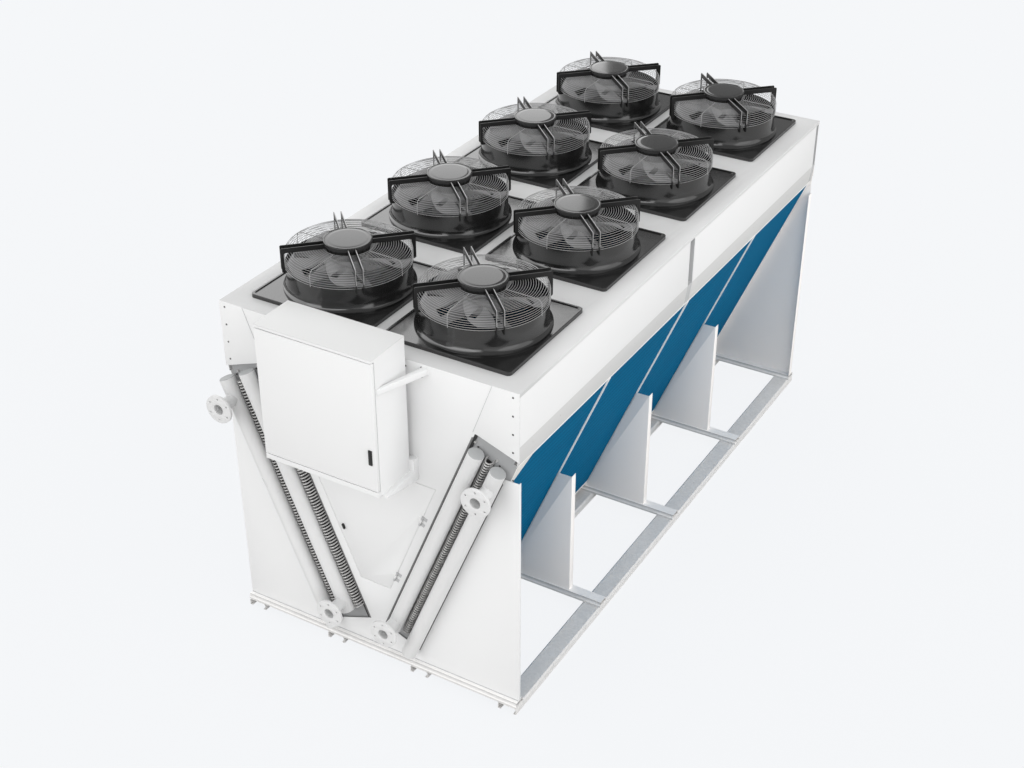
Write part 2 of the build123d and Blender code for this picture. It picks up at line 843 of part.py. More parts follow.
def access_latch():
    """Turn handle near the access door's left edge."""
    edge = access_half_foot + (access_latch_height - access_foot) * lean_sin / lean_cos
    outline = chamfer(Rectangle(access_latch_length, access_latch_width).vertices(), access_latch_width / 3)
    grip = extrude(outline, amount=access_latch_depth)
    place = Plane(
        origin=(access_latch_inset - edge, front_y, base_top + access_latch_height),
        x_dir=(-lean_sin, 0, lean_cos),
        z_dir=(0, -1, 0),
    )
    return place * grip


def write(nodes):
    """One STEP file for each node."""
    os.makedirs("parts", exist_ok=True)
    for name, shape in nodes.items():
        export_step(shape, f"parts/{name}.step")


def build():
    """Every node of the part, by name."""
    nodes = {}
    nodes["base_rails"] = base_rails()
    nodes["cross_channels"] = cross_channels()
    nodes["front_wall"] = front_wall()
    nodes["back_wall"] = back_wall()
    nodes["fan_deck"] = fan_deck()
    nodes["fan_housings"] = fan_housings()
    nodes["motor_carriers"] = motor_carriers()
    for i, y in enumerate(divider_ys):
        nodes[f"support_plates_{i + 1}"] = support_plate(y)
    for side, sign in side_signs.items():
        nodes[f"corner_plate_{side}"] = corner_plate(sign)
        nodes[f"coil_fins_{side}"] = coil_fins(sign)
        nodes[f"coil_frame_{side}"] = coil_frame(sign)
        nodes[f"plenum_side_{side}"] = plenum_side(sign)
        nodes[f"joint_posts_{side}"] = joint_posts(sign)
        outer = header_pipe(outer_depths[side], outer_pipe_start, outer_pipe_ends[side], upper_flanges_at[side])
        nodes[f"outer_header_{side}"] = on_side(outer, sign)
        inner = header_pipe(inner_depths[side], inner_pipe_start, inner_pipe_ends[side], lower_flange_at)
        nodes[f"inner_header_{side}"] = on_side(inner, sign)
        nodes[f"return_bends_{side}"] = on_side(return_bends(bend_depths[side]), sign)
    nodes["cabinet_body"] = cabinet_body()
    nodes["cabinet_brackets"] = cabinet_brackets()
    nodes["cabinet_door"], nodes["cabinet_handle"] = cabinet_door()
    nodes["access_door"] = access_door()
    nodes["access_hinges"] = access_hinges()
    nodes["access_latch"] = access_latch()
    places = [(x, y) for x in column_xs for y in row_ys]
    for i, (x, y) in enumerate(places):
        nodes[f"fan_rotor_{i + 1}"] = fan_rotor(x, y)
    return nodes


write(build())
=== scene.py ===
# %% [markdown]
# # Dry cooler on a base frame
# The unit is a long casing of white sheet steel. Two finned coils lean apart inside it as a V,
# and eight fans on its roof draw the air through them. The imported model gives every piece
# its place, so the lesson starts by loading it. Everything below is in metres.

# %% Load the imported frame
import json
import math

import bmesh
import bpy
from mathutils import Matrix, Vector


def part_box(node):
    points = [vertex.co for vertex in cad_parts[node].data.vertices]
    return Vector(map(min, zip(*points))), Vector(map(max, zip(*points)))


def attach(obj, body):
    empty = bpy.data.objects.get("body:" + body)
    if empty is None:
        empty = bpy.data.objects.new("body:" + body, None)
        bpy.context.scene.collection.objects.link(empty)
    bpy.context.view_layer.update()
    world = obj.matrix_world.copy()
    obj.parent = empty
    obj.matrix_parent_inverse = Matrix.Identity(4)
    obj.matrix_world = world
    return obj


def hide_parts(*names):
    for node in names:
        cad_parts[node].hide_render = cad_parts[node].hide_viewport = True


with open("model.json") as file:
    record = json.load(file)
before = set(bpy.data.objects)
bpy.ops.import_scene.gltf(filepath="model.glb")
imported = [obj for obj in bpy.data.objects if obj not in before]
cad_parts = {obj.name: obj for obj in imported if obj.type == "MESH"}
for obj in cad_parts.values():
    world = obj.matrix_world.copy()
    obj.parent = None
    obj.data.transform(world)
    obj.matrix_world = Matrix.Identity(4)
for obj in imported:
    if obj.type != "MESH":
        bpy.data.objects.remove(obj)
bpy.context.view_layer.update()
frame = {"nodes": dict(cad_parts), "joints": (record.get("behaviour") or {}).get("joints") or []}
nodes = frame["nodes"]

# %% [markdown]
# ## Places that the looks share
# A coil is a slab that leans outwards. A point of it is most easily named by two numbers: how far
# up the slope it lies, and how deep behind the outer face. The front is at -Y.

# %% Measures read from the frame
CASING = "casing"
SIDES = {"left": -1, "right": 1}
front_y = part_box("front_wall")[0].y
back_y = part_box("back_wall")[1].y
deck_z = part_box("fan_deck")[1].z
base_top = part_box("front_wall")[0].z
half_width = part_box("fan_deck")[1].x
fan_joints = [joint for joint in frame["joints"] if joint["name"].startswith("fan_rotor")]
fan_centres = [Vector(joint["pos_m"]) for joint in fan_joints]
fan_bodies = [joint["child"] for joint in fan_joints]
lean = math.radians(22.2)
coil_foot = Vector((0.346, 0.0, base_top + 0.008))
coil_length = 2.075
coil_depth = 0.350
up_slope = Vector((math.sin(lean), 0.0, math.cos(lean)))
inward = Vector((-math.cos(lean), 0.0, math.sin(lean)))
panel_foot = deck_z - 0.385
plate_face = front_y + 0.012


def mirrored(vector, sign):
    """The vector itself, or its mirror image on the left."""
    return Vector((vector.x * sign, vector.y, vector.z))


def coil_point(along, depth, y, sign=1):
    """A point of a coil, from its place up the slope and its depth behind the outer face."""
    return mirrored(coil_foot + up_slope * along + inward * depth + Vector((0, y, 0)), sign)


print("front", front_y, "deck", deck_z, "fans", len(fan_centres))

# %% [markdown]
# ## One way to write node trees
# A shader or a geometry tree is sums and products of sockets. A small class that stands for a
# socket and knows the operators lets them be written as ordinary expressions. Every other node
# comes from one method, which sets the node's own settings first and its inputs after.

# %% Sockets with arithmetic


class Val:
    """An output socket of a node tree, with the operators that add Math nodes."""

    def __init__(self, graph, socket):
        self.graph = graph
        self.socket = socket

    def maths(self, operation, *others):
        """A Math node on this value and the others."""
        inputs = dict(enumerate([self, *others]))
        return self.graph.node("ShaderNodeMath", {"operation": operation}, inputs)

    def __add__(self, other):
        return self.maths("ADD", other)

    __radd__ = __add__

    def __mul__(self, other):
        return self.maths("MULTIPLY", other)

    __rmul__ = __mul__

    def __sub__(self, other):
        return self.maths("SUBTRACT", other)

    def __rsub__(self, other):
        return (self * -1.0) + other

    def __truediv__(self, other):
        return self.maths("DIVIDE", other)

    def clamped(self, low=0.0, high=1.0):
        """This value kept between two limits."""
        return self.maths("MAXIMUM", low).maths("MINIMUM", high)

    def step(self, start, end):
        """0 before start, 1 after end, and smooth in between."""
        ends = {"Value": self, "From Min": start, "From Max": end}
        return self.graph.node("ShaderNodeMapRange", {"interpolation_type": "SMOOTHSTEP"}, ends)


class Graph:
    """A node tree and the one method that adds its nodes."""

    def __init__(self, tree):
        self.tree = tree

    def feed(self, socket, value):
        """Links a value to a socket, or sets the socket's own value."""
        if isinstance(value, Val):
            self.tree.links.new(value.socket, socket)
        else:
            socket.default_value = value

    def node(self, kind, settings=None, inputs=None, output=0, **named):
        """A node with its settings and its inputs, listed or named; returns one of its outputs."""
        made = self.tree.nodes.new(kind)
        for key, value in (settings or {}).items():
            setattr(made, key, value)
        for key, value in {**(inputs or {}), **named}.items():
            self.feed(made.inputs[key], value)
        return Val(self, made.outputs[output])

    def split(self, vector, axis):
        """One coordinate of a vector."""
        return self.node("ShaderNodeSeparateXYZ", inputs={0: vector}, output=axis)

    def xyz(self, x, y, z):
        """A vector from three numbers."""
        return self.node("ShaderNodeCombineXYZ", X=x, Y=y, Z=z)


def opaque(colour):
    """A colour of three numbers with full alpha; a socket stays as it is."""
    return colour if isinstance(colour, Val) else (*colour, 1.0)


class Finish(Graph):
    """A material: its tree, its Principled shader, and the patterns that finishes share."""

    def __init__(self, name, roughness=0.5, metallic=0.0, specular=0.5):
        self.material = bpy.data.materials.new(name)
        self.material.use_nodes = True
        super().__init__(self.material.node_tree)
        self.shader = self.tree.nodes["Principled BSDF"]
        self.set("Roughness", roughness)
        self.set("Metallic", metallic)
        self.set("Specular IOR Level", specular)

    def set(self, socket, value):
        """Gives one of the shader's own sockets a value or a link."""
        self.feed(self.shader.inputs[socket], value)

    def place(self):
        """Position on the object, in metres."""
        return self.node("ShaderNodeTexCoord", output="Object")

    def axis(self, name):
        """One coordinate of the position on the object."""
        return self.split(self.place(), name)

    def off_middle(self):
        """Distance from the unit's middle plane, the same on both sides."""
        return self.axis("X").maths("ABSOLUTE")

    def up_coil(self):
        """Height measured along the slope of the coils."""
        return self.off_middle() * math.sin(lean) + self.axis("Z") * math.cos(lean)

    def into_coil(self):
        """Depth behind the outer face of the coils."""
        depth = self.axis("Z") * math.sin(lean) - self.off_middle() * math.cos(lean)
        return depth - (coil_foot.z * math.sin(lean) - coil_foot.x * math.cos(lean))

    def noise(self, scale, detail=2.0):
        """Soft noise of so many blotches to a metre."""
        return self.node("ShaderNodeTexNoise", Vector=self.place(), Scale=scale, Detail=detail)

    def mix(self, factor, first, second):
        """A colour between two colours."""
        inputs = {"Factor": factor, 6: opaque(first), 7: opaque(second)}
        return self.node("ShaderNodeMix", {"data_type": "RGBA"}, inputs, output=2)

    def gloss(self, pattern, roughness, spread):
        """Roughness that varies with a pattern about its middle value."""
        self.set("Roughness", pattern * spread + (roughness - spread / 2))

    def bump(self, height, distance, strength=1.0):
        """A normal bent by a height; distance is the height's real size."""
        bent = self.node("ShaderNodeBump", Height=height, Distance=distance, Strength=strength)
        self.set("Normal", bent)


print("helpers for node trees are ready")

# %% [markdown]
# ## Camera, light and floor
# The casing is shot like a catalogue picture: white on white, in soft light. One wide lamp stands in
# front and one at the right. A low, weak one reaches the plates in the bays under the coils, and
# an even sky fills the rest. The floor is the backdrop: near white to the camera, with the unit's
# shadow on it.

# %% Camera
scene = bpy.context.scene
scene.view_settings.view_transform = "Standard"
camera_place = Vector((4.9717, -8.8743, 7.3641))
view_turn = math.radians(30.52)
view_drop = math.radians(31.85)
forward = math.cos(view_drop)
look = Vector((-math.sin(view_turn) * forward, math.cos(view_turn) * forward, -math.sin(view_drop)))
camera_data = bpy.data.cameras.new("camera")
camera_data.lens = 53.17
camera_data.sensor_width = 36.0
camera_data.clip_end = 500.0
camera = bpy.data.objects.new("camera", camera_data)
camera.location = camera_place
camera.rotation_mode = "QUATERNION"
camera.rotation_quaternion = look.to_track_quat("-Z", "Y")
scene.collection.objects.link(camera)
scene.camera = camera
print("camera", tuple(round(v, 3) for v in camera_place))

# %% [markdown]
# The lamps are suns with a wide disc, like large soft boxes far away. Gloss sees another sky than
# plain light does: a dim room with one bright panel in it, so that black gloss gets a sharp edge of light.

# %% Lamps and sky
LAMPS = {
    "front_light": (Vector((-0.22, -0.87, 0.42)), 0.78),
    "side_light": (Vector((0.93, -0.05, 0.36)), 0.80),
    "bay_light": (Vector((0.86, -0.50, 0.08)), 0.42),
}
LAMP_ANGLE = 60.0
LAMP_GLOSS = 0.35
SKY = 0.95
PANEL_TURN = math.radians(27.0)
PANEL_BRIGHT = 2.2
ROOM_BRIGHT = 0.42
for name, (toward, strength) in LAMPS.items():
    lamp_data = bpy.data.lights.new(name, "SUN")
    lamp_data.energy = strength
    lamp_data.angle = math.radians(LAMP_ANGLE)
    lamp_data.specular_factor = LAMP_GLOSS
    lamp = bpy.data.objects.new(name, lamp_data)
    lamp.rotation_mode = "QUATERNION"
    lamp.rotation_quaternion = toward.to_track_quat("Z", "Y")
    scene.collection.objects.link(lamp)

world = bpy.data.worlds.new("studio")
world.use_nodes = True
scene.world = world
sky = Graph(world.node_tree)
backdrop_colour = (0.915, 0.930, 0.950, 1.0)
direction = sky.node("ShaderNodeTexCoord", output="Generated")
east, north, height = (sky.split(direction, axis) for axis in "XYZ")
panel_side = (east * -math.cos(PANEL_TURN) - north * math.sin(PANEL_TURN)).step(-0.004, 0.004)
panel = panel_side * height.step(0.10, 0.16) * (1 - height.step(0.55, 0.75))
glossy_level = panel * PANEL_BRIGHT + ROOM_BRIGHT
is_camera = sky.node("ShaderNodeLightPath", output="Is Camera Ray")
is_glossy = sky.node("ShaderNodeLightPath", output="Is Glossy Ray")
level = is_glossy * glossy_level + (1 - is_glossy) * SKY
lit = sky.node("ShaderNodeBackground", Color=(1.0, 1.0, 1.0, 1.0), Strength=level)
seen = sky.node("ShaderNodeBackground", Color=backdrop_colour, Strength=1.0)
mixed = sky.node("ShaderNodeMixShader", inputs={0: is_camera, 1: lit, 2: seen})
sky.feed(world.node_tree.nodes["World Output"].inputs["Surface"], mixed)
print("lamps", len(LAMPS), "sky", SKY)

# %% [markdown]
# The floor takes the shadow. To the camera it also glows a little in the backdrop's colour, so that no
# line shows where it ends.

# %% Floor
FLOOR_GLOW = 1.021
GLOW_SHARE = 0.92
half_floor = 80.0
floor_mesh = bpy.data.meshes.new("floor")
floor_corners = [(x * half_floor, y * half_floor, 0) for x, y in ((-1, -1), (1, -1), (1, 1), (-1, 1))]
floor_mesh.from_pydata(floor_corners, [], [(0, 1, 2, 3)])
floor_object = bpy.data.objects.new("floor", floor_mesh)
scene.collection.objects.link(floor_object)
floor_finish = Finish("floor_white", roughness=1.0, specular=0.0)
floor_finish.set("Base Color", (0.60, 0.595, 0.59, 1.0))
camera_ray = floor_finish.node("ShaderNodeLightPath", output="Is Camera Ray")
glow = floor_finish.node("ShaderNodeEmission", Color=backdrop_colour, Strength=FLOOR_GLOW)
lit_floor = Val(floor_finish, floor_finish.shader.outputs[0])
both = floor_finish.node("ShaderNodeMixShader", inputs={0: camera_ray * GLOW_SHARE, 1: lit_floor, 2: glow})
floor_finish.feed(floor_finish.tree.nodes["Material Output"].inputs["Surface"], both)
floor_mesh.materials.append(floor_finish.material)
print("floor", 2 * half_floor, "m wide")

# %% [markdown]
# ## Finishes
# Powder coat is smooth paint with a very fine orange peel. It is near white, so its tone in the
# picture comes from the light. Small differences in gloss keep a large panel from looking flat.

# %% White powder coat
DEEP_SHADE = (0.030, 0.030, 0.030)
DEEP_SHADE_EASE = 0.03
BLOTCH_TONE = 0.972
PEEL_SCALE = 420.0
PEEL_DEPTH = 0.00012


def powder_coat(name, colour, roughness=0.46, split=None, ease=0.003, shade_depth=None):
    """Sheet paint: even colour, faint blotches in gloss, fine orange peel.

    A split is an axis, a place on it, and the colour before that place. The last argument is a depth
    behind the coil's outer face, from where on the paint is painted near black as painted shade.
    """
    finish = Finish(name, specular=0.35)
    soft = tuple(c * BLOTCH_TONE for c in colour)
    paint = finish.mix(finish.noise(1.7, detail=3.0), soft, colour)
    # Painted shade: deeper into the coil than the given depth, the paint turns near black.
    if shade_depth:
        paint = finish.mix(finish.into_coil().step(shade_depth - DEEP_SHADE_EASE, shade_depth), paint, DEEP_SHADE)
    if split:
        axis, edge, other = split
        paint = finish.mix(finish.axis(axis).step(edge - ease, edge + ease), other, paint)
    finish.set("Base Color", paint)
    finish.gloss(finish.noise(6.0), roughness, spread=0.10)
    finish.bump(finish.noise(PEEL_SCALE), PEEL_DEPTH)
    return finish


# The coil's end plates are painted a dark grey, as painted shade behind the slots, and the deck is darkest
# at its front end.
DECK_SHADE = 0.35
DECK_EASE = 0.25
FRAME_SHADE_DEPTH = 0.16
white = (0.800, 0.803, 0.804)
white_paint = powder_coat("powder_white", white)
# Below the panel's foot the lip that leans in is painted a darker grey: partly painted shade, partly a grey
# of its own.
side_paint = powder_coat("side_white", white, split=("Z", panel_foot, (0.63, 0.63, 0.625)))
end_plate = ("Y", front_y + 0.020, (0.33, 0.335, 0.34))
# The coil frame's white is brighter than the casing's, as painted light on strips that catch the light.
frame_paint = powder_coat("coil_frame_white", (0.930, 0.925, 0.920), split=end_plate, shade_depth=FRAME_SHADE_DEPTH)
# The supports' white is brighter and warmer than the casing's: painted light against the shade and the blue
# bounce under the coils.
support_paint = powder_coat("support_white", (0.950, 0.922, 0.900))
deck_front = ("Y", front_y + DECK_SHADE, (0.575, 0.577, 0.577))
deck_paint = powder_coat("deck_white", (0.690, 0.692, 0.692), split=deck_front, ease=DECK_EASE)
# The cabinet's top face is painted a darker grey than the white below it: painted shade.
cabinet_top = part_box("cabinet_body")[1].z
under_top = ("Z", cabinet_top - 0.006, white)
cabinet_paint = powder_coat("cabinet_white", (0.665, 0.668, 0.665), split=under_top)
gusset_paint = powder_coat("gusset_cream", (0.800, 0.780, 0.745), 0.5)
pipe_paint = powder_coat("pipe_white", (0.700, 0.702, 0.702), 0.30)
cap_paint = powder_coat("pipe_cap_grey", (0.400, 0.410, 0.413), 0.40)
# A mid grey for painted shade, on the returns of the joint posts and on the shadow lines of the front wall.
painted_shade_grey = powder_coat("shaded_return", (0.50, 0.505, 0.51), 0.5)
hinge_grey = powder_coat("hinge_grey", (0.52, 0.525, 0.53), 0.4)
seal_grey = powder_coat("door_seal_grey", (0.52, 0.52, 0.52), 0.8)
print("white finishes made")

# %% [markdown]
# Hot-dip galvanised steel freezes in crystals a centimetre or two across. Voronoi cells are such a
# pattern. Each cell gets its own grey and its own gloss, and zinc is only partly mirror-like.

# %% Galvanised steel
CRYSTAL_SHARE = 0.65
CRYSTAL_STEP = 0.00006


def zinc(name, low, high, cell=55.0, metallic=0.35, roughness=0.42):
    """Galvanised sheet with its crystals."""
    finish = Finish(name, metallic=metallic)
    cells = finish.node("ShaderNodeTexVoronoi", output="Color", Vector=finish.place(), Scale=cell)
    shade = finish.node("ShaderNodeSeparateColor", inputs={0: cells})
    mottled = shade * CRYSTAL_SHARE + finish.noise(9.0) * (1 - CRYSTAL_SHARE)
    dark, light = ((grey * 1.01, grey, grey * 0.985) for grey in (low, high))
    finish.set("Base Color", finish.mix(mottled, dark, light))
    finish.gloss(shade, roughness, spread=0.16)
    finish.bump(shade, CRYSTAL_STEP)
    return finish


galvanised = zinc("galvanised", 0.68, 0.78, metallic=0.10)
bend_zinc = zinc("bend_metal", 0.40, 0.56, cell=30.0, roughness=0.30)
bolt_zinc = zinc("bolt_zinc", 0.50, 0.68, cell=200.0, metallic=0.5, roughness=0.35)
bolt_dark = zinc("bolt_dark", 0.06, 0.12, cell=200.0, metallic=0.3, roughness=0.45)


def channel_zinc(name, low_z, high_z):
    """Galvanised channel with painted light: a highlight band halfway up its side, a shadow under its top
    edge, a lighter top face.
    """
    finish = Finish(name, roughness=0.42)
    rise = (finish.axis("Z") - low_z) / (high_z - low_z)
    # Painted light: a highlight band on the side, a shadow under the top edge, a lighter top face.
    band = rise.step(0.20, 0.48) * (1 - rise.step(0.52, 0.78))
    painted_crease_shadow = rise.step(0.76, 0.88) * (1 - rise.step(0.975, 0.99))
    top = rise.step(0.975, 0.99)
    shade = (band * 0.50 - painted_crease_shadow * 0.30 + top * 0.40 + finish.noise(9.0) * 0.16 + 0.42).clamped()
    finish.set("Base Color", finish.mix(shade, (0.34, 0.337, 0.332), (0.97, 0.96, 0.95)))
    return finish


channel_low, channel_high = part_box("cross_channels")
channel_steel = channel_zinc("channel_steel", channel_low.z, channel_high.z)
print("zinc finishes made, channels from", round(channel_low.z, 3), "to", round(channel_high.z, 3))

# %% [markdown]
# The fans are black. The nozzles and motor caps are high gloss and show the studio in them; the
# guard wire is satin, and the blades are a mid grey moulding with a fine grain.

# %% Blacks and greys


def dark_coat(name, grey, roughness, grain=0.00004, specular=0.5, blue=0.0):
    """Dark paint or moulding, with a fine grain; blue is added to the grey."""
    finish = Finish(name, specular=specular)
    colour = (grey, grey, grey + blue)
    light = tuple(c * 1.25 for c in colour)
    finish.set("Base Color", finish.mix(finish.noise(8.0), colour, light))
    finish.gloss(finish.noise(20.0), roughness, spread=0.06)
    finish.bump(finish.noise(300.0), grain)
    return finish


gloss_black = dark_coat("gloss_black", 0.010, 0.14, grain=0.00001, specular=0.85)
# The guard wire's grey is lighter than its black coat: painted sheen for its gloss.
wire_grey = dark_coat("guard_wire_grey", 0.300, 0.30, specular=0.7, blue=0.002)
arm_black = dark_coat("arm_black", 0.008, 0.38, specular=0.4)
arm_edge_grey = dark_coat("arm_edge_grey", 0.300, 0.30)
cap_black = dark_coat("motor_cap_black", 0.016, 0.10, grain=0.0, specular=0.46)
motor_grey = dark_coat("motor_grey", 0.016, 0.50)
blade_grey = dark_coat("blade_grey", 0.160, 0.42, blue=0.002)
edge_shade_paint = dark_coat("edge_trim_grey", 0.130, 0.6)
handle_black = dark_coat("handle_black", 0.006, 0.35)
shade_black = dark_coat("recess_shade", 0.020, 0.8)
print("dark finishes made")

# %% [markdown]
# The coil fins have a blue coating. Thousands of thin fins stand side by side, and the tube
# rows press a line into them every 22 mm up the slope. The colour pattern follows both: a stripe
# from the height up the slope, a broader one for each pressed strip, and a much finer one along the
# coil. The inner face is painted nearly black, as painted shade.

# %% Coil fins
TUBE_ROW = 0.0222
STRIP_WIDTH = 0.0740
FIN_PITCH = 0.0024
CLEAR_BLUE = (0.0008, 0.178, 0.356)
DEEP_BLUE = (0.0002, 0.054, 0.134)
INNER_FACE_SHADE = (0.0002, 0.012, 0.030)
INNER_SHADE_FROM = coil_depth - 0.10
INNER_SHADE_FULL = coil_depth - 0.02
LINE_DEPTH = 0.0008


def coil_blue(name):
    """Blue fins with the lines pressed into them, and painted shade near the inner face."""
    finish = Finish(name, roughness=0.70, specular=0.02)
    up = finish.up_coil()
    row = (up * (1 / TUBE_ROW)).maths("FRACT")
    valley = 1 - (row - 0.5).maths("ABSOLUTE").step(0.10, 0.42)
    fin = (finish.axis("Y") * (1 / FIN_PITCH)).maths("FRACT")
    edge = (fin - 0.5).maths("ABSOLUTE").step(0.20, 0.45)
    pack = ((up * (1 / STRIP_WIDTH)).maths("FRACT") - 0.5).maths("ABSOLUTE").step(0.05, 0.45)
    shade = (valley * 0.56 + pack * 0.20 + edge * 0.04 + finish.noise(3.0) * 0.20).clamped()
    # Painted shade: near the inner face the fins turn nearly black.
    shaded_share = finish.into_coil().step(INNER_SHADE_FROM, INNER_SHADE_FULL)
    finish.set("Base Color", finish.mix(shaded_share, finish.mix(shade, CLEAR_BLUE, DEEP_BLUE), INNER_FACE_SHADE))
    finish.bump(row, LINE_DEPTH, strength=0.5)
    return finish


fin_blue = coil_blue("coil_blue")
print("coil finish made")

# %% [markdown]
# ## Turning CAD nodes into finished sheet metal
# A CAD node has edges as sharp as a razor, and real folded or cut sheet catches a line of light
# along each edge. The node's own mesh stays as it is. A stack of modifiers welds its loose
# triangles, joins the flat ones, and rounds the edges by about a millimetre, or more on handles.

# %% Modifiers for CAD nodes


def new_tree(name, inputs):
    """A geometry tree with a Geometry input, and named inputs with their values."""
    tree = bpy.data.node_groups.new(name, "GeometryNodeTree")
    tree.interface.new_socket("Geometry", in_out="INPUT", socket_type="NodeSocketGeometry")
    for key, (kind, value) in inputs.items():
        socket = tree.interface.new_socket(key, in_out="INPUT", socket_type="NodeSocket" + kind)
        if value is not None:
            socket.default_value = value
    tree.interface.new_socket("Geometry", in_out="OUTPUT", socket_type="NodeSocketGeometry")
    graph = Graph(tree)
    group_in = tree.nodes.new("NodeGroupInput")
    group_out = tree.nodes.new("NodeGroupOutput")
    named = {socket.name: Val(graph, socket) for socket in group_in.outputs if socket.name}
    return graph, named, group_out.inputs[0]


def edge_angle_tree():
    """Smooth shading, except over edges sharper than an angle."""
    graph, given, result = new_tree("smooth_by_angle", {"Angle": ("Float", math.radians(32))})
    smooth = graph.node("GeometryNodeSetShadeSmooth", {"domain": "FACE"}, Geometry=given["Geometry"])
    angle = graph.node("GeometryNodeInputMeshEdgeAngle")
    sharp = graph.node("FunctionNodeCompare", {"operation": "GREATER_THAN"}, {0: angle, 1: given["Angle"]})
    settings = {"Geometry": smooth, "Selection": sharp, "Shade Smooth": False}
    graph.feed(result, graph.node("GeometryNodeSetShadeSmooth", {"domain": "EDGE"}, settings))
    return graph.tree


def plain_weld_tree():
    """Joins a CAD mesh's loose triangles and drops the normals that came with them."""
    graph, given, result = new_tree("weld_cad", {"Distance": ("Float", 0.00002)})
    loose = given["Geometry"]
    welded = graph.node("GeometryNodeMergeByDistance", Geometry=loose, Distance=given["Distance"])
    graph.feed(result, graph.node("GeometryNodeRemoveAttribute", Geometry=welded, Name="custom_normal"))
    return graph.tree


def narrow_return_tree():
    """Draws in the far edge of the flanges that are folded back along the front wall's legs."""
    inputs = {
        "Beyond": ("Float", half_width - 0.010), "Past": ("Float", front_y + 0.030),
        "Shift": ("Float", -0.037),
    }
    graph, given, result = new_tree("narrow_return", inputs)
    place = graph.node("GeometryNodeInputPosition")
    across = graph.split(place, "X").maths("ABSOLUTE")
    depth = graph.split(place, "Y")
    far = across.maths("GREATER_THAN", given["Beyond"]) * depth.maths("GREATER_THAN", given["Past"])
    shift = graph.xyz(0.0, given["Shift"], 0.0)
    moved = graph.node("GeometryNodeSetPosition", Geometry=given["Geometry"], Selection=far, Offset=shift)
    graph.feed(result, moved)
    return graph.tree


weld_tree = plain_weld_tree()
smooth_tree = edge_angle_tree()


def dress(node, finish, bevel=0.0, first=None):
    """Gives a CAD node its material and softened edges."""
    item = nodes[node]
    item.data.materials.clear()
    item.data.materials.append(finish.material)
    if first:
        item.modifiers.new("first", "NODES").node_group = first
    item.modifiers.new("weld", "NODES").node_group = weld_tree
    flat = item.modifiers.new("flat", "DECIMATE")
    flat.decimate_type = "DISSOLVE"
    flat.angle_limit = math.radians(1.0)
    if bevel:
        rounding = item.modifiers.new("edges", "BEVEL")
        rounding.width = bevel
        rounding.segments = 2
        rounding.limit_method = "ANGLE"
        rounding.angle_limit = math.radians(40)
    item.modifiers.new("shade", "NODES").node_group = smooth_tree


SHEET_EDGE = 0.0008
HANDLE_EDGE = 0.003
sheet_nodes = {
    "corner_plate_left": white_paint, "corner_plate_right": white_paint, "cabinet_door": white_paint,
    "access_door": white_paint, "cabinet_brackets": white_paint, "back_wall": support_paint,
    "cabinet_body": cabinet_paint, "fan_deck": deck_paint, "access_hinges": hinge_grey,
    "support_plates_1": support_paint, "support_plates_2": support_paint, "support_plates_3": support_paint,
}
for side in SIDES:
    dress("coil_fins_" + side, fin_blue)
    sheet_nodes["plenum_side_" + side] = side_paint
    sheet_nodes["coil_frame_" + side] = frame_paint
    sheet_nodes["joint_posts_" + side] = painted_shade_grey
for name, finish in sheet_nodes.items():
    dress(name, finish, bevel=SHEET_EDGE)
dress("front_wall", white_paint, bevel=SHEET_EDGE, first=narrow_return_tree())
dress("base_rails", galvanised)
dress("cross_channels", channel_steel)
for name in ("access_latch", "cabinet_handle"):
    dress(name, handle_black, bevel=HANDLE_EDGE)
print("dressed CAD nodes:", sum(1 for item in nodes.values() if item.modifiers))

# %% [markdown]
# ## Helpers for new meshes
# Round parts are turned from a profile, like on a lathe. A piece is kept only after its doubles
# are merged and its faces point outwards.

# %% Mesh helpers


def finished(name, mesh, finish, body=CASING, angle=35):
    """Makes a mesh a piece of the part: its material, its shading, the body it rides on."""
    bm = bmesh.new()
    bm.from_mesh(mesh)
    bmesh.ops.remove_doubles(bm, verts=bm.verts, dist=0.00001)
    bmesh.ops.recalc_face_normals(bm, faces=bm.faces)
    bm.to_mesh(mesh)
    bm.free()
    if finish is not None:
        mesh.materials.clear()
        mesh.materials.append(finish.material)
    mesh.shade_smooth()
    mesh.set_sharp_from_angle(angle=math.radians(angle))
    item = bpy.data.objects.new(name, mesh)
    scene.collection.objects.link(item)
    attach(item, body)
    return item


def evenly(start, end, count):
    """Values from start to end at even steps."""
    return [start + (end - start) * i / (count - 1) for i in range(count)]


def polar(radius, turn, z=0.0):
    """A point from its radius, its angle about Z, and its height."""
    return Vector((radius * math.cos(turn), radius * math.sin(turn), z))


def skin(rings, joined=False):
    """Points and faces of a surface through closed rings of points; joined also closes last to first."""
    count = len(rings[0])
    points = [p for ring in rings for p in ring]
    faces = []
    span = len(rings) if joined else len(rings) - 1
    for i in range(span):
        for j in range(count):
            a = i * count + j
            b = i * count + (j + 1) % count
            c = (i + 1) % len(rings) * count + (j + 1) % count
            d = (i + 1) % len(rings) * count + j
            faces.append((a, b, c, d))
    return points, faces


def merged(name, parts):
    """One mesh from several lists of points and faces."""
    points = []
    faces = []
    for part_points, part_faces in parts:
        start = len(points)
        points += part_points
        faces += [tuple(start + i for i in face) for face in part_faces]
    mesh = bpy.data.meshes.new(name)
    mesh.from_pydata([tuple(p) for p in points], [], faces)
    return mesh


def piece(name, parts, finish, angle=35):
    """A piece on the casing, from several lists of points and faces."""
    return finished(name, merged(name, parts), finish, angle=angle)


def taken_from(mesh, place):
    """Points and faces of a mesh, moved by a matrix."""
    points = [place @ vertex.co for vertex in mesh.vertices]
    return points, [tuple(polygon.vertices) for polygon in mesh.polygons]


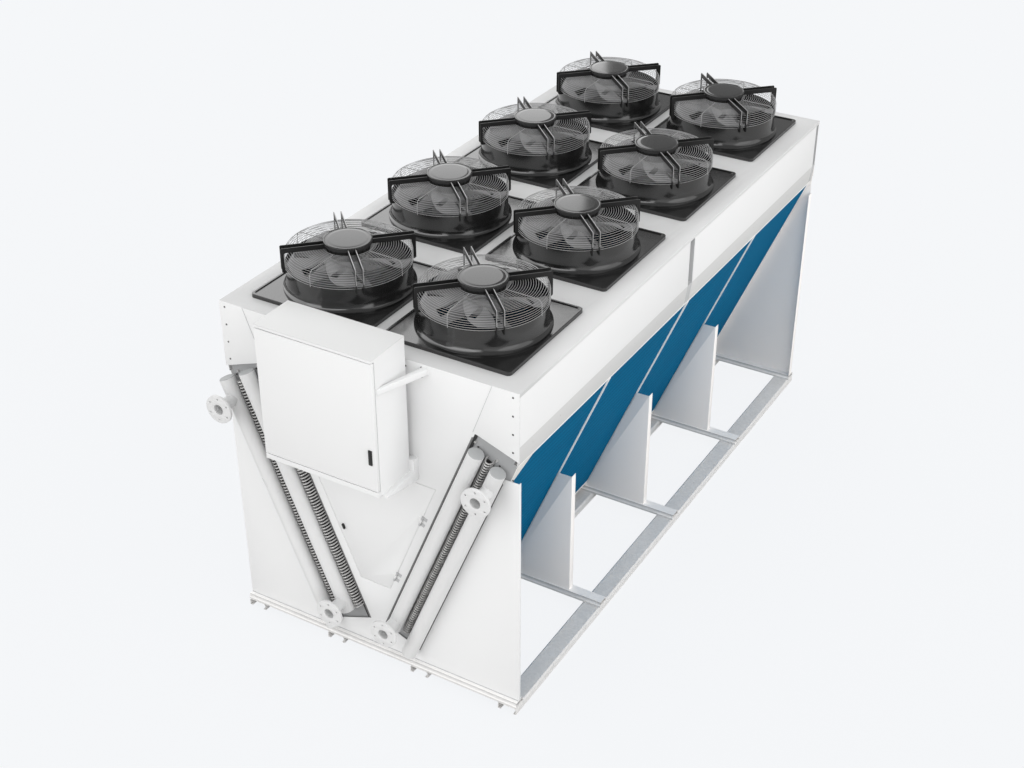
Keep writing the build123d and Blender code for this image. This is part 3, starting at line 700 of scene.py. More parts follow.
def turned(profile, origin=(0, 0, 0), axis=(0, 0, 1), steps=48, closed=False):
    """A solid of revolution: profile is (radius, height) pairs, closed for a hollow part."""
    axis = Vector(axis).normalized()
    across = axis.orthogonal().normalized()
    other = axis.cross(across)
    origin = Vector(origin)
    rings = []
    for radius, rise in profile:
        ring = []
        for k in range(steps):
            turn = 2 * math.pi * k / steps
            ring.append(origin + axis * rise + (across * math.cos(turn) + other * math.sin(turn)) * radius)
        rings.append(ring)
    points, faces = skin(rings, joined=closed)
    if not closed:
        faces.append(tuple(reversed(range(steps))))
        faces.append(tuple(range(len(points) - steps, len(points))))
    return points, faces


def slab(outline, first, second):
    """A prism: an outline of points moved by one vector, and again by the other, with side faces."""
    low = [Vector(p) + Vector(first) for p in outline]
    high = [Vector(p) + Vector(second) for p in outline]
    points, faces = skin([low, high])
    count = len(outline)
    faces.append(tuple(range(count)))
    faces.append(tuple(reversed(range(count, 2 * count))))
    return points, faces


def web(outline, turn, gauge, shift=0.0):
    """A flat plate along a direction about Z, from its side view; shift sets it aside."""
    out = polar(1.0, turn)
    aside = Vector((-out.y, out.x, 0))
    points = [out * radius + Vector((0, 0, z)) + aside * shift for radius, z in outline]
    return slab(points, aside * (-gauge / 2), aside * (gauge / 2))


def bar(low, high):
    """A plain bar between two corners."""
    (x0, y0, z0), (x1, y1, z1) = low, high
    outline = [(x, y, 0) for x, y in ((x0, y0), (x1, y0), (x1, y1), (x0, y1))]
    return slab(outline, (0, 0, z0), (0, 0, z1))


def arc(centre, radius, start, end, steps):
    """Points of an arc in a profile, angles in degrees."""
    turns = [math.radians(start + (end - start) * i / steps) for i in range(steps + 1)]
    return [(centre[0] + radius * math.cos(t), centre[1] + radius * math.sin(t)) for t in turns]


print("mesh helpers are ready")

# %% [markdown]
# A geometry tree is run once on a small source mesh, and its result is kept as a plain mesh.
# The source and its modifier are then removed, so that nothing live is left on the piece.

# %% Running a geometry tree


def kept_mesh(holder, name):
    """The mesh that an object shows, as a plain one; the object and its modifiers are removed."""
    scene.collection.objects.link(holder)
    depsgraph = bpy.context.evaluated_depsgraph_get()
    mesh = bpy.data.meshes.new_from_object(holder.evaluated_get(depsgraph), depsgraph=depsgraph)
    holder.modifiers.clear()
    bpy.data.objects.remove(holder)
    mesh.name = name
    return mesh


def grown(name, tree, source, finish, values=None, angle=35):
    """Runs a tree on a source mesh and keeps the result as a piece."""
    holder = bpy.data.objects.new(name + "_source", source)
    modifier = holder.modifiers.new("nodes", "NODES")
    modifier.node_group = tree
    sockets = {item.name: item.identifier for item in tree.interface.items_tree if item.in_out == "INPUT"}
    for key, value in {**(values or {}), "Finish": finish.material}.items():
        modifier[sockets[key]] = value
    made = finished(name, kept_mesh(holder, name), None, angle=angle)
    print(name, len(made.data.polygons), "faces")
    return made


def points_mesh(name, points, facing=None):
    """A mesh of bare points, with the way each one faces."""
    mesh = bpy.data.meshes.new(name)
    mesh.from_pydata([tuple(p) for p in points], [], [])
    if facing is not None:
        layer = mesh.attributes.new("facing", "FLOAT_VECTOR", "POINT")
        layer.data.foreach_set("vector", [c for v in facing for c in v])
    return mesh


def on_points(graph, points, instance, **more):
    """A copy of a mesh on each point."""
    return graph.node("GeometryNodeInstanceOnPoints", Points=points, Instance=instance, **more)


def send_out(graph, given, result, copies):
    """Ends a tree: the copies become real mesh, get their material, and go to the output."""
    real = graph.node("GeometryNodeRealizeInstances", Geometry=copies)
    graph.feed(result, graph.node("GeometryNodeSetMaterial", Geometry=real, Material=given["Finish"]))
    return graph.tree


def copies_tree():
    """Copies the incoming mesh to each point of another object."""
    inputs = {"Places": ("Object", None), "Finish": ("Material", None)}
    graph, given, result = new_tree("copy_to_places", inputs)
    places = graph.node("GeometryNodeObjectInfo", output="Geometry", Object=given["Places"])
    return send_out(graph, given, result, on_points(graph, places, given["Geometry"]))


copy_tree = copies_tree()
fan_places = points_mesh("fan_places", [(c.x, c.y, deck_z) for c in fan_centres])
fan_markers = bpy.data.objects.new("fan_markers", fan_places)
scene.collection.objects.link(fan_markers)


def on_each_fan(name, parts, finish, angle=35):
    """A piece modelled once about the fan's axis and copied to the eight fans."""
    mesh = merged(name + "_one", parts)
    return grown(name, copy_tree, mesh, finish, {"Places": fan_markers}, angle)


# %% [markdown]
# ## Fan nozzles
# Each fan stands on a square plate with rounded corners. The nozzle is a short tube that flares at
# its foot like a bell, so that air enters without a step. It is one profile turned about the axis.

# %% Nozzles and plates
plate_half = 0.475
plate_height = 0.028
plate_corner = 0.030
nozzle_radius = 0.4225
nozzle_top = 0.198


def rounded_square(half, corner, steps=8):
    """Outline of a square with rounded corners, anticlockwise."""
    points = []
    for quarter in range(4):
        turn = quarter * 90
        cx = (half - corner) * (1 if quarter in (0, 3) else -1)
        cy = (half - corner) * (1 if quarter in (0, 1) else -1)
        points += arc((cx, cy), corner, turn, turn + 90, steps)
    return points


def plate_rings():
    """Rings from the plate's foot, over its lip, and in to the nozzle's hole."""
    steps = 64
    levels = [(plate_half, 0.0), (plate_half, plate_height - 0.003), (plate_half - 0.003, plate_height)]
    levels += [(plate_half - 0.016, plate_height), (plate_half - 0.020, plate_height - 0.007)]
    rings = []
    for half, level in levels:
        square = rounded_square(half, plate_corner)
        ring = []
        for k in range(steps):
            at = k / steps * len(square)
            i = int(at)
            a = Vector((*square[i], level))
            b = Vector((*square[(i + 1) % len(square)], level))
            ring.append(a.lerp(b, at - i))
        rings.append(ring)
    last = []
    for p in rings[-1]:
        last.append(polar(nozzle_radius + 0.016, math.atan2(p.y, p.x), plate_height - 0.007))
    rings.append(last)
    return rings


bell = [(0.0255, 0.0215), (0.0265, 0.028), (0.0250, 0.034), (0.020, 0.0375), (0.012, 0.045)]
bell += [(0.005, 0.058), (0.001, 0.078), (0.0, 0.100)]
rim = [(0.0, nozzle_top - 0.010), (0.002, nozzle_top - 0.007)]
rim += [(0.002, nozzle_top - 0.001), (0.0, nozzle_top), (-0.004, nozzle_top - 0.001)]
throat = [(-0.005, 0.150), (-0.005, -0.058), (0.0, -0.058), (0.0, 0.020)]
nozzle_profile = [(nozzle_radius + out, rise) for out, rise in bell + rim + throat]
plates = skin(plate_rings())
nozzle = turned(nozzle_profile, steps=96, closed=True)
housing = on_each_fan("fan_nozzles", [plates, nozzle], gloss_black, angle=25)
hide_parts("fan_housings")

# %% [markdown]
# ## Motors and arms
# The motor hangs in the middle under a round cap. Four pairs of flat strips reach out from it,
# turn down at a square corner outside the guard, and are fixed to the nozzle's wall.

# %% Motor caps and bodies
cap_radius = 0.165
cap_top = 0.350
cap_profile = [(0.130, cap_top - 0.008), (cap_radius - 0.001, cap_top - 0.008)]
cap_profile.append((cap_radius, cap_top - 0.006))
cap_profile += arc((cap_radius - 0.004, cap_top - 0.006), 0.004, 0, 90, 4)
pressed = [(0.009, 0.0008), (0.012, 0.0026), (0.018, 0.0030)]
pressed += [(0.032, 0.0010), (0.036, 0.0004), (0.045, 0.0)]
cap_profile += [(cap_radius - inset, cap_top - sink) for inset, sink in pressed]
cap = turned(cap_profile, steps=72)
on_each_fan("motor_caps", [cap], cap_black, angle=20)

motor_profile = [(0.060, 0.150), (0.124, 0.236), (0.132, 0.242), (0.148, cap_top - 0.034)]
motor_profile += [(cap_radius - 0.006, cap_top - 0.032), (cap_radius - 0.002, cap_top - 0.028)]
motor_profile += [(cap_radius - 0.002, cap_top - 0.008), (0.128, cap_top - 0.008)]
motor = turned(motor_profile, steps=48)
rib_count = 24
rib_gauge = 0.004
rib_outline = [(0.130, 0.250), (0.137, 0.250), (0.155, 0.318), (0.145, 0.318)]
ribs = [web(rib_outline, 2 * math.pi * k / rib_count, rib_gauge) for k in range(rib_count)]
bodies = on_each_fan("motor_bodies", [motor, *ribs], motor_grey)
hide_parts("motor_carriers")

# %% [markdown]
# A strip stands on edge. A thin bead of grey runs along the outer edge of two of the four pairs: a
# painted highlight where black paint would catch the light.

# %% Strip arms
arm_top = 0.338
arm_depth = 0.034
arm_gap = 0.050
arm_gauge = 0.006
arm_reach = 0.450
corner_cut = 0.006
leg_width = 0.020
arm_foot = 0.160

# Side view of a strip: out along the top, down the leg, and in to the nozzle's wall.
inner = arm_reach - leg_width
under = arm_top - arm_depth
arm_outline = [
    (0.128, arm_top), (arm_reach - corner_cut, arm_top), (arm_reach, arm_top - corner_cut),
    (arm_reach, arm_foot + 0.010), (arm_reach - 0.010, arm_foot), (nozzle_radius - 0.001, arm_foot),
    (nozzle_radius - 0.001, arm_foot + 0.016), (inner, arm_foot + 0.024), (inner, under - 0.008),
    (inner - 0.010, under), (0.128, under),
]

# Side view of the bead along its outer edge.
sunk = 0.001
bead_rise = 0.0012
root = arm_reach - sunk
crest = arm_reach + bead_rise
bead_foot = nozzle_top + 0.030
bead_outline = [
    (0.150, arm_top + bead_rise), (root - corner_cut, arm_top + bead_rise),
    (crest, arm_top - corner_cut), (crest, bead_foot), (root, bead_foot), (root, arm_top - corner_cut),
    (root - corner_cut, arm_top - sunk), (0.150, arm_top - sunk),
]

highlighted_arms = (1, 3)
strips = []
highlight_beads = []
for k in range(4):
    turn = math.radians(45 + 90 * k)
    for shift in (-arm_gap / 2, arm_gap / 2):
        strips.append(web(arm_outline, turn, arm_gauge, shift))
        if k in highlighted_arms:
            highlight_beads.append(web(bead_outline, turn, arm_gauge * 0.8, shift))
on_each_fan("fan_arms", strips, arm_black)
# The grey beads are painted highlights.
on_each_fan("fan_arm_edges", highlight_beads, arm_edge_grey)

# %% [markdown]
# ## Fan guards
# A guard is some twenty rings of wire on four radial wires. The rings follow one curve: almost flat
# from the motor out, round a shoulder, then down to the nozzle. Geometry Nodes work that
# curve out from the ring's number, so the pitch or the shoulder can be changed in one place.

# %% Guard tree


def guard_curve(distance, given):
    """Radius and height of the guard at a distance along its curve from the motor."""
    flat = distance.maths("MINIMUM", given["Flat"])
    turn = ((distance - given["Flat"]) / given["Shoulder"]).clamped(0.0, math.pi / 2)
    drop = (distance - given["Flat"] - given["Shoulder"] * (math.pi / 2)).maths("MAXIMUM", 0.0)
    radius = given["Inner radius"] + flat + given["Shoulder"] * turn.maths("SINE")
    rise = given["Top"] - flat * given["Fall"] - given["Shoulder"] * (1 - turn.maths("COSINE")) - drop
    return radius, rise


def wire(graph, curve, thickness, sides=4):
    """A round wire along a curve."""
    circle = graph.node("GeometryNodeCurvePrimitiveCircle", Resolution=sides, Radius=thickness * 0.5)
    return graph.node("GeometryNodeCurveToMesh", inputs={"Curve": curve, "Profile Curve": circle})


def guard_tree():
    """Rings and radial wires of a guard, copied to each incoming point."""
    inputs = {
        "Rings": ("Int", 22), "Pitch": ("Float", 0.01624), "Inner radius": ("Float", 0.172),
        "Flat": ("Float", 0.215), "Shoulder": ("Float", 0.040), "Fall": ("Float", 0.02),
        "Top": ("Float", 0.302), "Ring wire": ("Float", 0.0035), "Radial wire": ("Float", 0.0050),
        "Radials": ("Int", 4), "Finish": ("Material", None),
    }
    graph, given, result = new_tree("fan_guard", inputs)
    index = graph.node("GeometryNodeInputIndex")
    radius, rise = guard_curve(index * given["Pitch"], given)
    levels = graph.node("GeometryNodePoints", Count=given["Rings"], Position=graph.xyz(0.0, 0.0, rise))
    circle = graph.node("GeometryNodeCurvePrimitiveCircle", Resolution=96, Radius=1.0)
    hoops = on_points(graph, levels, circle, Scale=graph.xyz(radius, radius, 1.0))
    hoops = graph.node("GeometryNodeRealizeInstances", Geometry=hoops)
    rings = wire(graph, hoops, given["Ring wire"])
    fine = graph.node("GeometryNodeInputIndex") * given["Pitch"] * 0.5
    radius, rise = guard_curve(fine, given)
    place = graph.xyz(radius, 0.0, rise - 0.004)
    path = graph.node("GeometryNodePoints", Count=given["Rings"] * 2, Position=place)
    path = graph.node("GeometryNodePointsToCurves", Points=path)
    spoke = wire(graph, path, given["Radial wire"], sides=6)
    centre = graph.node("GeometryNodePoints", Count=given["Radials"])
    share = graph.node("GeometryNodeInputIndex") * (2 * math.pi) / given["Radials"]
    spokes = on_points(graph, centre, spoke, Rotation=graph.xyz(0.0, 0.0, share))
    join = graph.tree.nodes.new("GeometryNodeJoinGeometry")
    for part in (rings, spokes):
        graph.tree.links.new(part.socket, join.inputs[0])
    guards = on_points(graph, given["Geometry"], Val(graph, join.outputs[0]))
    return send_out(graph, given, result, guards)


grown("fan_guards", guard_tree(), fan_places, wire_grey, angle=60)

# %% [markdown]
# ## Blades
# A blade is a wide sickle. Its front edge runs back with the radius, its surface falls from that
# edge like a ramp, and two slits let air through it. It is easiest to write as a sheet over
# a grid of radius and angle, and to give it its thickness afterwards.

# %% Rotors
blade_count = 5
blade_rows = 22
blade_gauge = 0.005
blade_camber = 0.016
hub_radius = 0.128
tip_radius = 0.411
front_angles = [(0.120, -104.0), (0.200, -94.0), (0.300, -83.0), (0.373, -73.0), (0.420, -60.0)]
rear_angles = [(0.120, -22.0), (0.200, -23.0), (0.300, -28.0), (0.373, -27.0), (0.420, -24.0)]
front_heights = [(0.120, 0.224), (0.160, 0.246), (0.220, 0.282), (0.320, 0.270), (0.420, 0.205)]
rear_heights = [(0.120, 0.140), (0.220, 0.146), (0.320, 0.146), (0.420, 0.140)]
slits = [
    {"angles": [(0.17, -61.5), (0.29, -65.2), (0.37, -71.0)], "span": (0.185, 0.365), "width": (7.4, 7.0)},
    {"angles": [(0.17, -51.5), (0.27, -43.5), (0.35, -42.0)], "span": (0.175, 0.345), "width": (6.4, 9.6)},
]
slit_gap = 2.5
column_counts = (5, 1, 5, 1, 5)
slit_columns = (5, 11)


def between(table, at):
    """A value from a short table of (place, value) pairs, with smooth joins."""
    if at <= table[0][0]:
        return table[0][1]
    for i in range(len(table) - 1):
        (a, low), (b, high) = table[i], table[i + 1]
        if at <= b:
            before = table[max(i - 1, 0)]
            after = table[min(i + 2, len(table) - 1)]
            share = (at - a) / (b - a)
            tangent_low = (high - before[1]) / max(b - before[0], 1e-9) * (b - a)
            tangent_high = (after[1] - low) / max(after[0] - a, 1e-9) * (b - a)
            s2 = share * share
            s3 = s2 * share
            return ((2 * s3 - 3 * s2 + 1) * low + (s3 - 2 * s2 + share) * tangent_low
                    + (3 * s2 - 2 * s3) * high + (s3 - s2) * tangent_high)
    return table[-1][1]


def blade_point(radius, angle):
    """A point of the blade's middle surface."""
    front = between(front_angles, radius)
    rear = between(rear_angles, radius)
    share = min(max((angle - front) / (rear - front), 0.0), 1.0)
    high = between(front_heights, radius)
    low = between(rear_heights, radius)
    rise = high + (low - high) * share + blade_camber * math.sin(math.pi * share)
    return polar(radius, math.radians(angle), rise)


def blade_columns(radius):
    """Angles of the grid's columns at a radius: from the front edge to the rear, round both slits."""
    front = between(front_angles, radius)
    rear = between(rear_angles, radius)
    stops = [front]
    for slit in slits:
        middle = between(slit["angles"], radius)
        share = (radius - slit["span"][0]) / (slit["span"][1] - slit["span"][0])
        width = slit["width"][0] + (slit["width"][1] - slit["width"][0]) * min(max(share, 0.0), 1.0)
        middle = max(middle, stops[-1] + slit_gap)
        stops += [middle - width / 2, middle + width / 2]
    stops.append(rear)
    columns = [front]
    for a, b, count in zip(stops, stops[1:], column_counts):
        columns += [a + (b - a) * (i + 1) / count for i in range(count)]
    return columns


def blades_mesh():
    """All blades of a rotor about the fan's axis, as sheets without thickness."""
    radii = evenly(hub_radius - 0.006, tip_radius, blade_rows + 1)
    points = []
    faces = []
    for k in range(blade_count):
        start = len(points)
        turn = Matrix.Rotation(2 * math.pi * k / blade_count, 3, "Z")
        for radius in radii:
            points += [turn @ blade_point(radius, angle) for angle in blade_columns(radius)]
        width = sum(column_counts) + 1
        for i in range(blade_rows):
            middle = (radii[i] + radii[i + 1]) / 2
            cut = [j for j, slit in zip(slit_columns, slits) if slit["span"][0] < middle < slit["span"][1]]
            for j in range(width - 1):
                if j not in cut:
                    a = start + i * width + j
                    faces.append((a, a + 1, a + width + 1, a + width))
    return merged("blades", [(points, faces)])


sheet = bpy.data.objects.new("blade_source", blades_mesh())
thick = sheet.modifiers.new("thickness", "SOLIDIFY")
thick.thickness = blade_gauge
thick.offset = 0.0
blades = taken_from(kept_mesh(sheet, "thick_blades"), Matrix())
hub_profile = [(0.060, 0.121), (0.112, 0.121), (0.124, 0.128), (hub_radius, 0.140), (hub_radius, 0.224)]
hub_profile += [(0.122, 0.232), (0.110, 0.234), (0.060, 0.234)]
hub = turned(hub_profile, steps=48)
for number, (centre, body) in enumerate(zip(fan_centres, fan_bodies), start=1):
    mesh = merged(f"rotor_{number}", [blades, hub])
    mesh.transform(Matrix.Translation((centre.x, centre.y, deck_z)))
    rotor = finished(f"rotor_{number}", mesh, blade_grey, body, angle=40)
    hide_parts(body)
print("rotor faces", len(rotor.data.polygons))

# %% [markdown]
# ## Header pipes
# Each coil has two header pipes along its slope, one for the water in and one for the way out. A
# header is a capped pipe with a flanged stub. The flange is a ring with bolt holes, drawn
# as a flat curve whose inner circles become holes.

# %% Flanges
flange_radius = 0.1025
flange_gauge = 0.020
stub_bore = 0.040
bolt_circle = 0.080
bolt_hole = 0.009
bolt_count = 6
flange_edge = 0.0015


def flange_mesh():
    """A flange in the XY plane with its bolt holes."""
    curve = bpy.data.curves.new("flange_outline", "CURVE")
    curve.dimensions = "2D"
    curve.fill_mode = "BOTH"
    curve.extrude = flange_gauge / 2 - flange_edge
    curve.bevel_depth = flange_edge
    curve.bevel_resolution = 1
    circles = [(Vector(), flange_radius, 64), (Vector(), stub_bore, 40)]
    for k in range(bolt_count):
        circles.append((polar(bolt_circle, 2 * math.pi * (k + 0.5) / bolt_count), bolt_hole, 16))
    for middle, radius, steps in circles:
        spline = curve.splines.new("POLY")
        spline.points.add(steps - 1)
        spline.use_cyclic_u = True
        for i in range(steps):
            spline.points[i].co = (*(middle + polar(radius, 2 * math.pi * i / steps)), 1)
    return kept_mesh(bpy.data.objects.new("flange_source", curve), "flange")


flange = flange_mesh()
print("flange faces", len(flange.polygons))

# %% [markdown]
# A pipe stands off the wall, and thin feed tubes run from its back into the coil. Its upper end is shut
# by a welded disc of a darker grey. The stub leaves the pipe towards the front, with a weld bead at
# the flange.

# %% Pipes, stubs and caps
pipe_radius = 0.054
pipe_standoff = 0.060
stub_radius = 0.0445
flange_reach = 0.240
feed_count = 8
feed_margin = 0.090
feed_radius = 0.009
headers = {
    ("outer", "left"): (0.020, 0.060, 2.055, 1.900),
    ("outer", "right"): (0.078, 0.060, 2.005, 1.850),
    ("inner", "left"): (0.222, 0.190, 2.080, 0.275),
    ("inner", "right"): (0.256, 0.190, 2.030, 0.275),
}
pipe_y = front_y - pipe_standoff
feed_y = pipe_y + pipe_radius - 0.006
stub_end = flange_reach - pipe_standoff
stub_profile = [(stub_radius, 0.010), (stub_radius, stub_end), (stub_bore, stub_end), (stub_bore, 0.010)]
weld_profile = [(stub_radius, 0.020), (stub_radius + 0.006, 0.020), (stub_radius, 0.028)]
feed_profile = [(feed_radius, 0.0), (feed_radius, plate_face - feed_y)]
upright = Matrix.Rotation(math.pi / 2, 4, "X")
for (which, side), (depth, start, end, flange_at) in headers.items():
    sign = SIDES[side]
    foot = coil_point(start, depth, pipe_y, sign)
    slope = mirrored(up_slope, sign)
    long = end - start
    pipe_profile = [(pipe_radius - 0.003, 0.0), (pipe_radius, 0.004)]
    pipe_profile += [(pipe_radius, long - 0.004), (pipe_radius - 0.003, long)]
    parts = [turned(pipe_profile, foot, slope, steps=40)]
    centre = coil_point(flange_at, depth, front_y - flange_reach, sign)
    for profile in (stub_profile, weld_profile):
        parts.append(turned(profile, centre, (0, 1, 0), steps=40, closed=True))
    for along in evenly(start + feed_margin, end - feed_margin, feed_count):
        root = coil_point(along, depth, feed_y, sign)
        parts.append(turned(feed_profile, root, (0, 1, 0), steps=12))
    flange_middle = centre + Vector((0, flange_gauge / 2, 0))
    parts.append(taken_from(flange, Matrix.Translation(flange_middle) @ upright))
    pipe = piece(f"{which}_pipe_{side}", parts, pipe_paint, angle=30)
    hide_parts(f"{which}_header_{side}")
    end_disc = [(pipe_radius - 0.0005, long - 0.003), (pipe_radius - 0.0035, long + 0.0006)]
    disc = turned(end_disc, foot, slope, steps=40)
    piece(f"{which}_pipe_cap_{side}", [disc], cap_paint, angle=30)
print("header pipes made:", len(headers))

# %% [markdown]
# ## Return bends
# Water runs to and fro through the coil, and hairpin bends join the tube ends. They stand in long
# rows beside the headers. One bend is an arch, a little squarer than a half ellipse, swept with a
# small circle; the tree repeats it up the slope.

# %% Bend tree


def bends_tree():
    """Hairpin bends repeated from each incoming point along a direction."""
    inputs = {
        "Count": ("Int", 82), "Pitch": ("Float", TUBE_ROW), "Span": ("Float", 0.056),
        "Reach": ("Float", 0.062), "Tube": ("Float", 0.0112), "Along": ("Vector", (0, 0, 1)),
        "Across": ("Vector", (1, 0, 0)), "Finish": ("Material", None),
    }
    graph, given, result = new_tree("return_bends", inputs)

    def scaled(vector, factor):
        return graph.node("ShaderNodeVectorMath", {"operation": "SCALE"}, {0: vector, "Scale": factor})

    def added(first, second):
        return graph.node("ShaderNodeVectorMath", {"operation": "ADD"}, {0: first, 1: second})

    steps = 9
    squareness = 0.62
    turn = graph.node("GeometryNodeInputIndex") * (math.pi / (steps - 1))
    sideways = scaled(given["Across"], turn.maths("COSINE") * given["Span"] * -0.5)
    outward = turn.maths("SINE").maths("MAXIMUM", 0.0).maths("POWER", squareness) * given["Reach"] * -1.0
    place = added(sideways, graph.xyz(0.0, outward, 0.0))
    path = graph.node("GeometryNodePoints", Count=steps, Position=place)
    path = graph.node("GeometryNodePointsToCurves", Points=path)
    bend = wire(graph, path, given["Tube"], sides=6)
    lift = scaled(given["Along"], graph.node("GeometryNodeInputIndex") * given["Pitch"])
    column = graph.node("GeometryNodePoints", Count=given["Count"], Position=lift)
    stack = on_points(graph, column, bend)
    return send_out(graph, given, result, on_points(graph, given["Geometry"], stack))


bend_tree = bends_tree()
bend_start = 0.205
bend_count = 82
bend_depths = {"left": (0.100, 0.300), "right": (0.172,)}
for side, depths in bend_depths.items():
    sign = SIDES[side]
    seats = points_mesh("bend_seats", [coil_point(bend_start, depth, plate_face, sign) for depth in depths])
    values = {"Count": bend_count, "Along": mirrored(up_slope, sign), "Across": mirrored(inward, sign)}
    row = grown(f"hairpins_{side}", bend_tree, seats, bend_zinc, values, angle=70)
    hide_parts(f"return_bends_{side}")

# %% [markdown]
# ## Inside the header slots
# The coil's end plate closes each slot of the front wall. Near-black strips along both edges of
# the slot are painted shade, and dark grey strips over the cut edge of the sheet are painted shade too.
# A near-black band under every row of bends is painted shade. All are thin slabs on the slope, so one
# outline between two depths makes them.

# %% Painted shade strips and bands
slot_edges = {"left": 0.006, "right": 0.035}
slot_inner = 0.335
slot_foot = 0.084
band_half = 0.034
band_foot = 0.195
band_top = bend_start + (bend_count - 2) * TUBE_ROW
shade_strip_layer = (front_y + 0.003, front_y + 0.0118)
band_layer = (front_y + 0.0105, front_y + 0.0119)
edge_shade_layer = (front_y - 0.0020, front_y + 0.0035)
inner_shade_strip = (-0.020, 0.004, 2.108)
outer_shade_strip = (-0.004, 0.012, 1.905)
inner_edge_shade = (-0.003, 0.009, 2.066)
outer_edge_shade = (-0.0054, 0.003, 1.890)


def slope_strip(low_depth, high_depth, start, end, y_range, sign):
    """A thin strip up the coil's slope, between two depths."""
    corners = [(start, low_depth), (end, low_depth), (end, high_depth), (start, high_depth)]
    outline = [coil_point(along, depth, 0.0, sign) for along, depth in corners]
    return slab(outline, (0, y_range[0], 0), (0, y_range[1], 0))


def slot_strips(outer_edge, inner, outer, layer, sign):
    """Strips along both edges of a slot: how far each one reaches out, in and up."""
    strips = []
    for edge, (out, into, top) in ((slot_inner, inner), (outer_edge, outer)):
        strips.append(slope_strip(edge + out, edge + into, slot_foot, top, layer, sign))
    return strips


for side, outer_edge in slot_edges.items():
    sign = SIDES[side]
    # Near-black painted shade along the slot's edges and under each row of bends.
    strips = slot_strips(outer_edge, inner_shade_strip, outer_shade_strip, shade_strip_layer, sign)
    for depth in bend_depths[side]:
        band = (depth - band_half, depth + band_half)
        strips.append(slope_strip(*band, band_foot, band_top, band_layer, sign))
    piece(f"slot_seals_{side}", strips, shade_black)
    # Dark grey painted shade over the cut edge of the sheet.
    edge_shades = slot_strips(outer_edge, inner_edge_shade, outer_edge_shade, edge_shade_layer, sign)
    piece(f"slot_trims_{side}", edge_shades, edge_shade_paint)
print("slots sealed:", len(slot_edges))

# %% [markdown]
# ## Corner gussets
# At its upper front corner the coil's frame is stiffened by a three-cornered plate, which lies on the
# coil's outer face.

# %% Gussets
gusset_top = coil_length - 0.004
gusset_side = 0.214
gusset_rise = 0.240
gusset_gauge = 0.0015
gusset_corners = [(gusset_top, plate_face), (gusset_top, plate_face + gusset_side)]
gusset_corners.append((gusset_top - gusset_rise, plate_face))
for side, sign in SIDES.items():
    outline = [coil_point(along, 0.0, y, sign) for along, y in gusset_corners]
    off = mirrored(inward, sign) * -gusset_gauge
    piece(f"corner_gusset_{side}", [slab(outline, off, off * -0.5)], gusset_paint)
print("gussets made")

# %% [markdown]
# ## Seals and seams of the doors
# Behind the gap round the access door lies a frame of white sheet, and the cabinet's door closes on a
# grey rubber frame. Both are rings: an outer outline and an inner one, joined front and back.

# %% Door frames
door_foot = base_top + 0.560
door_top = base_top + 1.540
door_half_foot = 0.122


def frame_ring(outer, inner, y_range):
    """A flat ring between two outlines in X and Z, with its thickness along Y."""
    rings = []
    for outline, y in ((outer, y_range[0]), (outer, y_range[1]), (inner, y_range[1]), (inner, y_range[0])):
        rings.append([Vector((x, y, z)) for x, z in outline])
    return skin(rings, joined=True)


def access_outline(margin):
    """The access door's outline in X and Z, grown by a margin."""
    low = door_foot - margin
    high = door_top + margin
    half_low = door_half_foot - margin * math.tan(lean) + margin / math.cos(lean)
    half_high = half_low + (high - low) * math.tan(lean)
    return [(-half_low, low), (half_low, low), (half_high, high), (-half_high, high)]


sheet_layer = (front_y + 0.0036, front_y + 0.0060)
ring = frame_ring(access_outline(0.018), access_outline(-0.012), sheet_layer)
piece("access_door_frame", [ring], white_paint)

door_low, door_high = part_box("cabinet_door")
body_low, body_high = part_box("cabinet_body")


def cabinet_outline(inset):
    """Outline of the cabinet's open front, drawn in by an inset."""
    x = (body_low.x + inset, body_high.x - inset)
    z = (door_low.z - 0.006 + inset, door_high.z + 0.006 - inset)
    return [(x[0], z[0]), (x[1], z[0]), (x[1], z[1]), (x[0], z[1])]


rubber_layer = (door_high.y + 0.0025, door_high.y + 0.0078)
ring = frame_ring(cabinet_outline(0.002), cabinet_outline(0.016), rubber_layer)
piece("cabinet_door_seal", [ring], seal_grey)

# %% [markdown]
# A thin shadow line marks two joints of the front wall: along the slanted edge of each corner plate,
# and between the wall's foot and the channel under it. Each is painted shadow, a narrow strip of grey.

# %% Painted shadow lines
slant_top = (half_width - 0.190, deck_z - 0.004)
slant_foot = (half_width - 0.332, deck_z - 0.382)
line_width = 0.0045
line_half = half_width - 0.004
lines = []
for sign in SIDES.values():
    outline = [(x * sign, 0, z) for x, z in (slant_top, slant_foot)]
    outline += [((x - line_width) * sign, 0, z) for x, z in (slant_foot, slant_top)]
    lines.append(slab(outline, (0, front_y - 0.0020, 0), (0, front_y, 0)))
foot_low = (-line_half, front_y - 0.0030, base_top - 0.001)
foot_high = (line_half, front_y + 0.001, base_top + 0.0055)
lines.append(bar(foot_low, foot_high))
piece("sealant_lines", lines, painted_shade_grey)

# %% [markdown]
# ## Screws and rivets
# Small heads hold the sheets together. A head is a low cone with few sides, and each one is set on a
# point that also says which way it faces. The tree turns every head to its point's direction.

# %% Screw tree


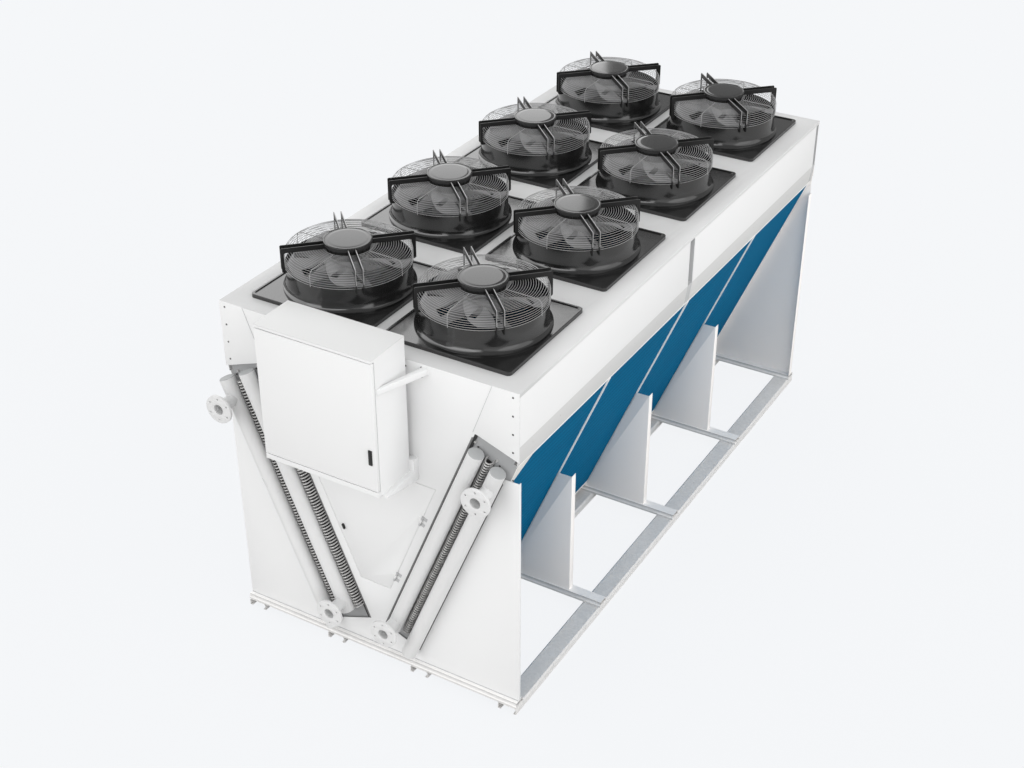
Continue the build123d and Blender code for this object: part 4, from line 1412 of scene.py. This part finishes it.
def screws_tree():
    """A head on each point, turned to the point's direction."""
    inputs = {
        "Radius": ("Float", 0.006), "Height": ("Float", 0.003), "Taper": ("Float", 0.7),
        "Sides": ("Int", 10), "Finish": ("Material", None),
    }
    graph, given, result = new_tree("screw_heads", inputs)
    sizes = {
        "Vertices": given["Sides"], "Radius Bottom": given["Radius"],
        "Radius Top": given["Radius"] * given["Taper"], "Depth": given["Height"],
    }
    head = graph.node("GeometryNodeMeshCone", inputs=sizes)
    facing = graph.node("GeometryNodeInputNamedAttribute", {"data_type": "FLOAT_VECTOR"}, Name="facing")
    turn = graph.node("FunctionNodeAlignRotationToVector", {"axis": "Z"}, Vector=facing)
    heads = on_points(graph, given["Geometry"], head, Rotation=turn)
    return send_out(graph, given, result, heads)


screw_tree = screws_tree()


def set_screws(name, places, finish, radius, height):
    """Screw heads at (point, direction) pairs, as one piece."""
    mesh = points_mesh(name + "_points", [p for p, way in places], [Vector(way) for p, way in places])
    grown(name, screw_tree, mesh, finish, {"Radius": radius, "Height": height})


# %% [markdown]
# Screws hold the corner plates and the wall's upper edge, and two bolts the arm of the cabinet. Beside
# the end of each header stand a vent with its zinc end and a dark plug. A row of rivets runs
# along the lip of the side panels, which leans in, so that the rivets look a little downwards.

# %% Heads on the casing
FORWARD = (0, -1, 0)
corner_x = half_width - 0.045
corner_y = front_y - 0.003
corner_zs = evenly(deck_z - 0.038, deck_z - 0.436, 4)
leg_screw_z = base_top + 1.824
top_screw_x = 0.330
top_screw_z = deck_z - 0.052
heads = []
for sign in SIDES.values():
    heads += [((corner_x * sign, corner_y, z), FORWARD) for z in corner_zs]
    heads.append(((corner_x * sign, front_y, leg_screw_z), FORWARD))
    heads.append(((top_screw_x * sign, front_y, top_screw_z), FORWARD))
set_screws("front_screws", heads, bolt_dark, 0.0075, 0.003)


def by_header_ends(past, deeper):
    """A place beside each header's upper end, past the end by one measure and deeper by the other."""
    ends = [(end + past, depth + deeper, SIDES[side]) for (_, side), (depth, _, end, _) in headers.items()]
    return [(coil_point(along, depth, plate_face, sign), FORWARD) for along, depth, sign in ends]


set_screws("vent_ends", by_header_ends(0.012, 0.056), bolt_zinc, 0.0095, 0.012)
set_screws("plug_heads", by_header_ends(-0.014, 0.026), bolt_dark, 0.0080, 0.006)

arm_bolt_x = 0.448
arm_bolts = [((arm_bolt_x, front_y, deck_z - drop), FORWARD) for drop in (0.031, 0.095)]
set_screws("arm_bolts", arm_bolts, bolt_dark, 0.0080, 0.004)

lip_z = panel_foot - 0.060
lip_x = half_width - 0.0085
lip_tilt = -0.12
rivet_ys = evenly(front_y + 0.180, back_y - 0.250, 14)
rivets = [((lip_x * sign, y, lip_z), (sign, 0, lip_tilt)) for sign in SIDES.values() for y in rivet_ys]
set_screws("side_rivets", rivets, bolt_zinc, 0.0060, 0.0025)

# %% [markdown]
# ## Last step
# The helper that held the fans' places is removed.

# %% Finish
bpy.data.objects.remove(fan_markers)
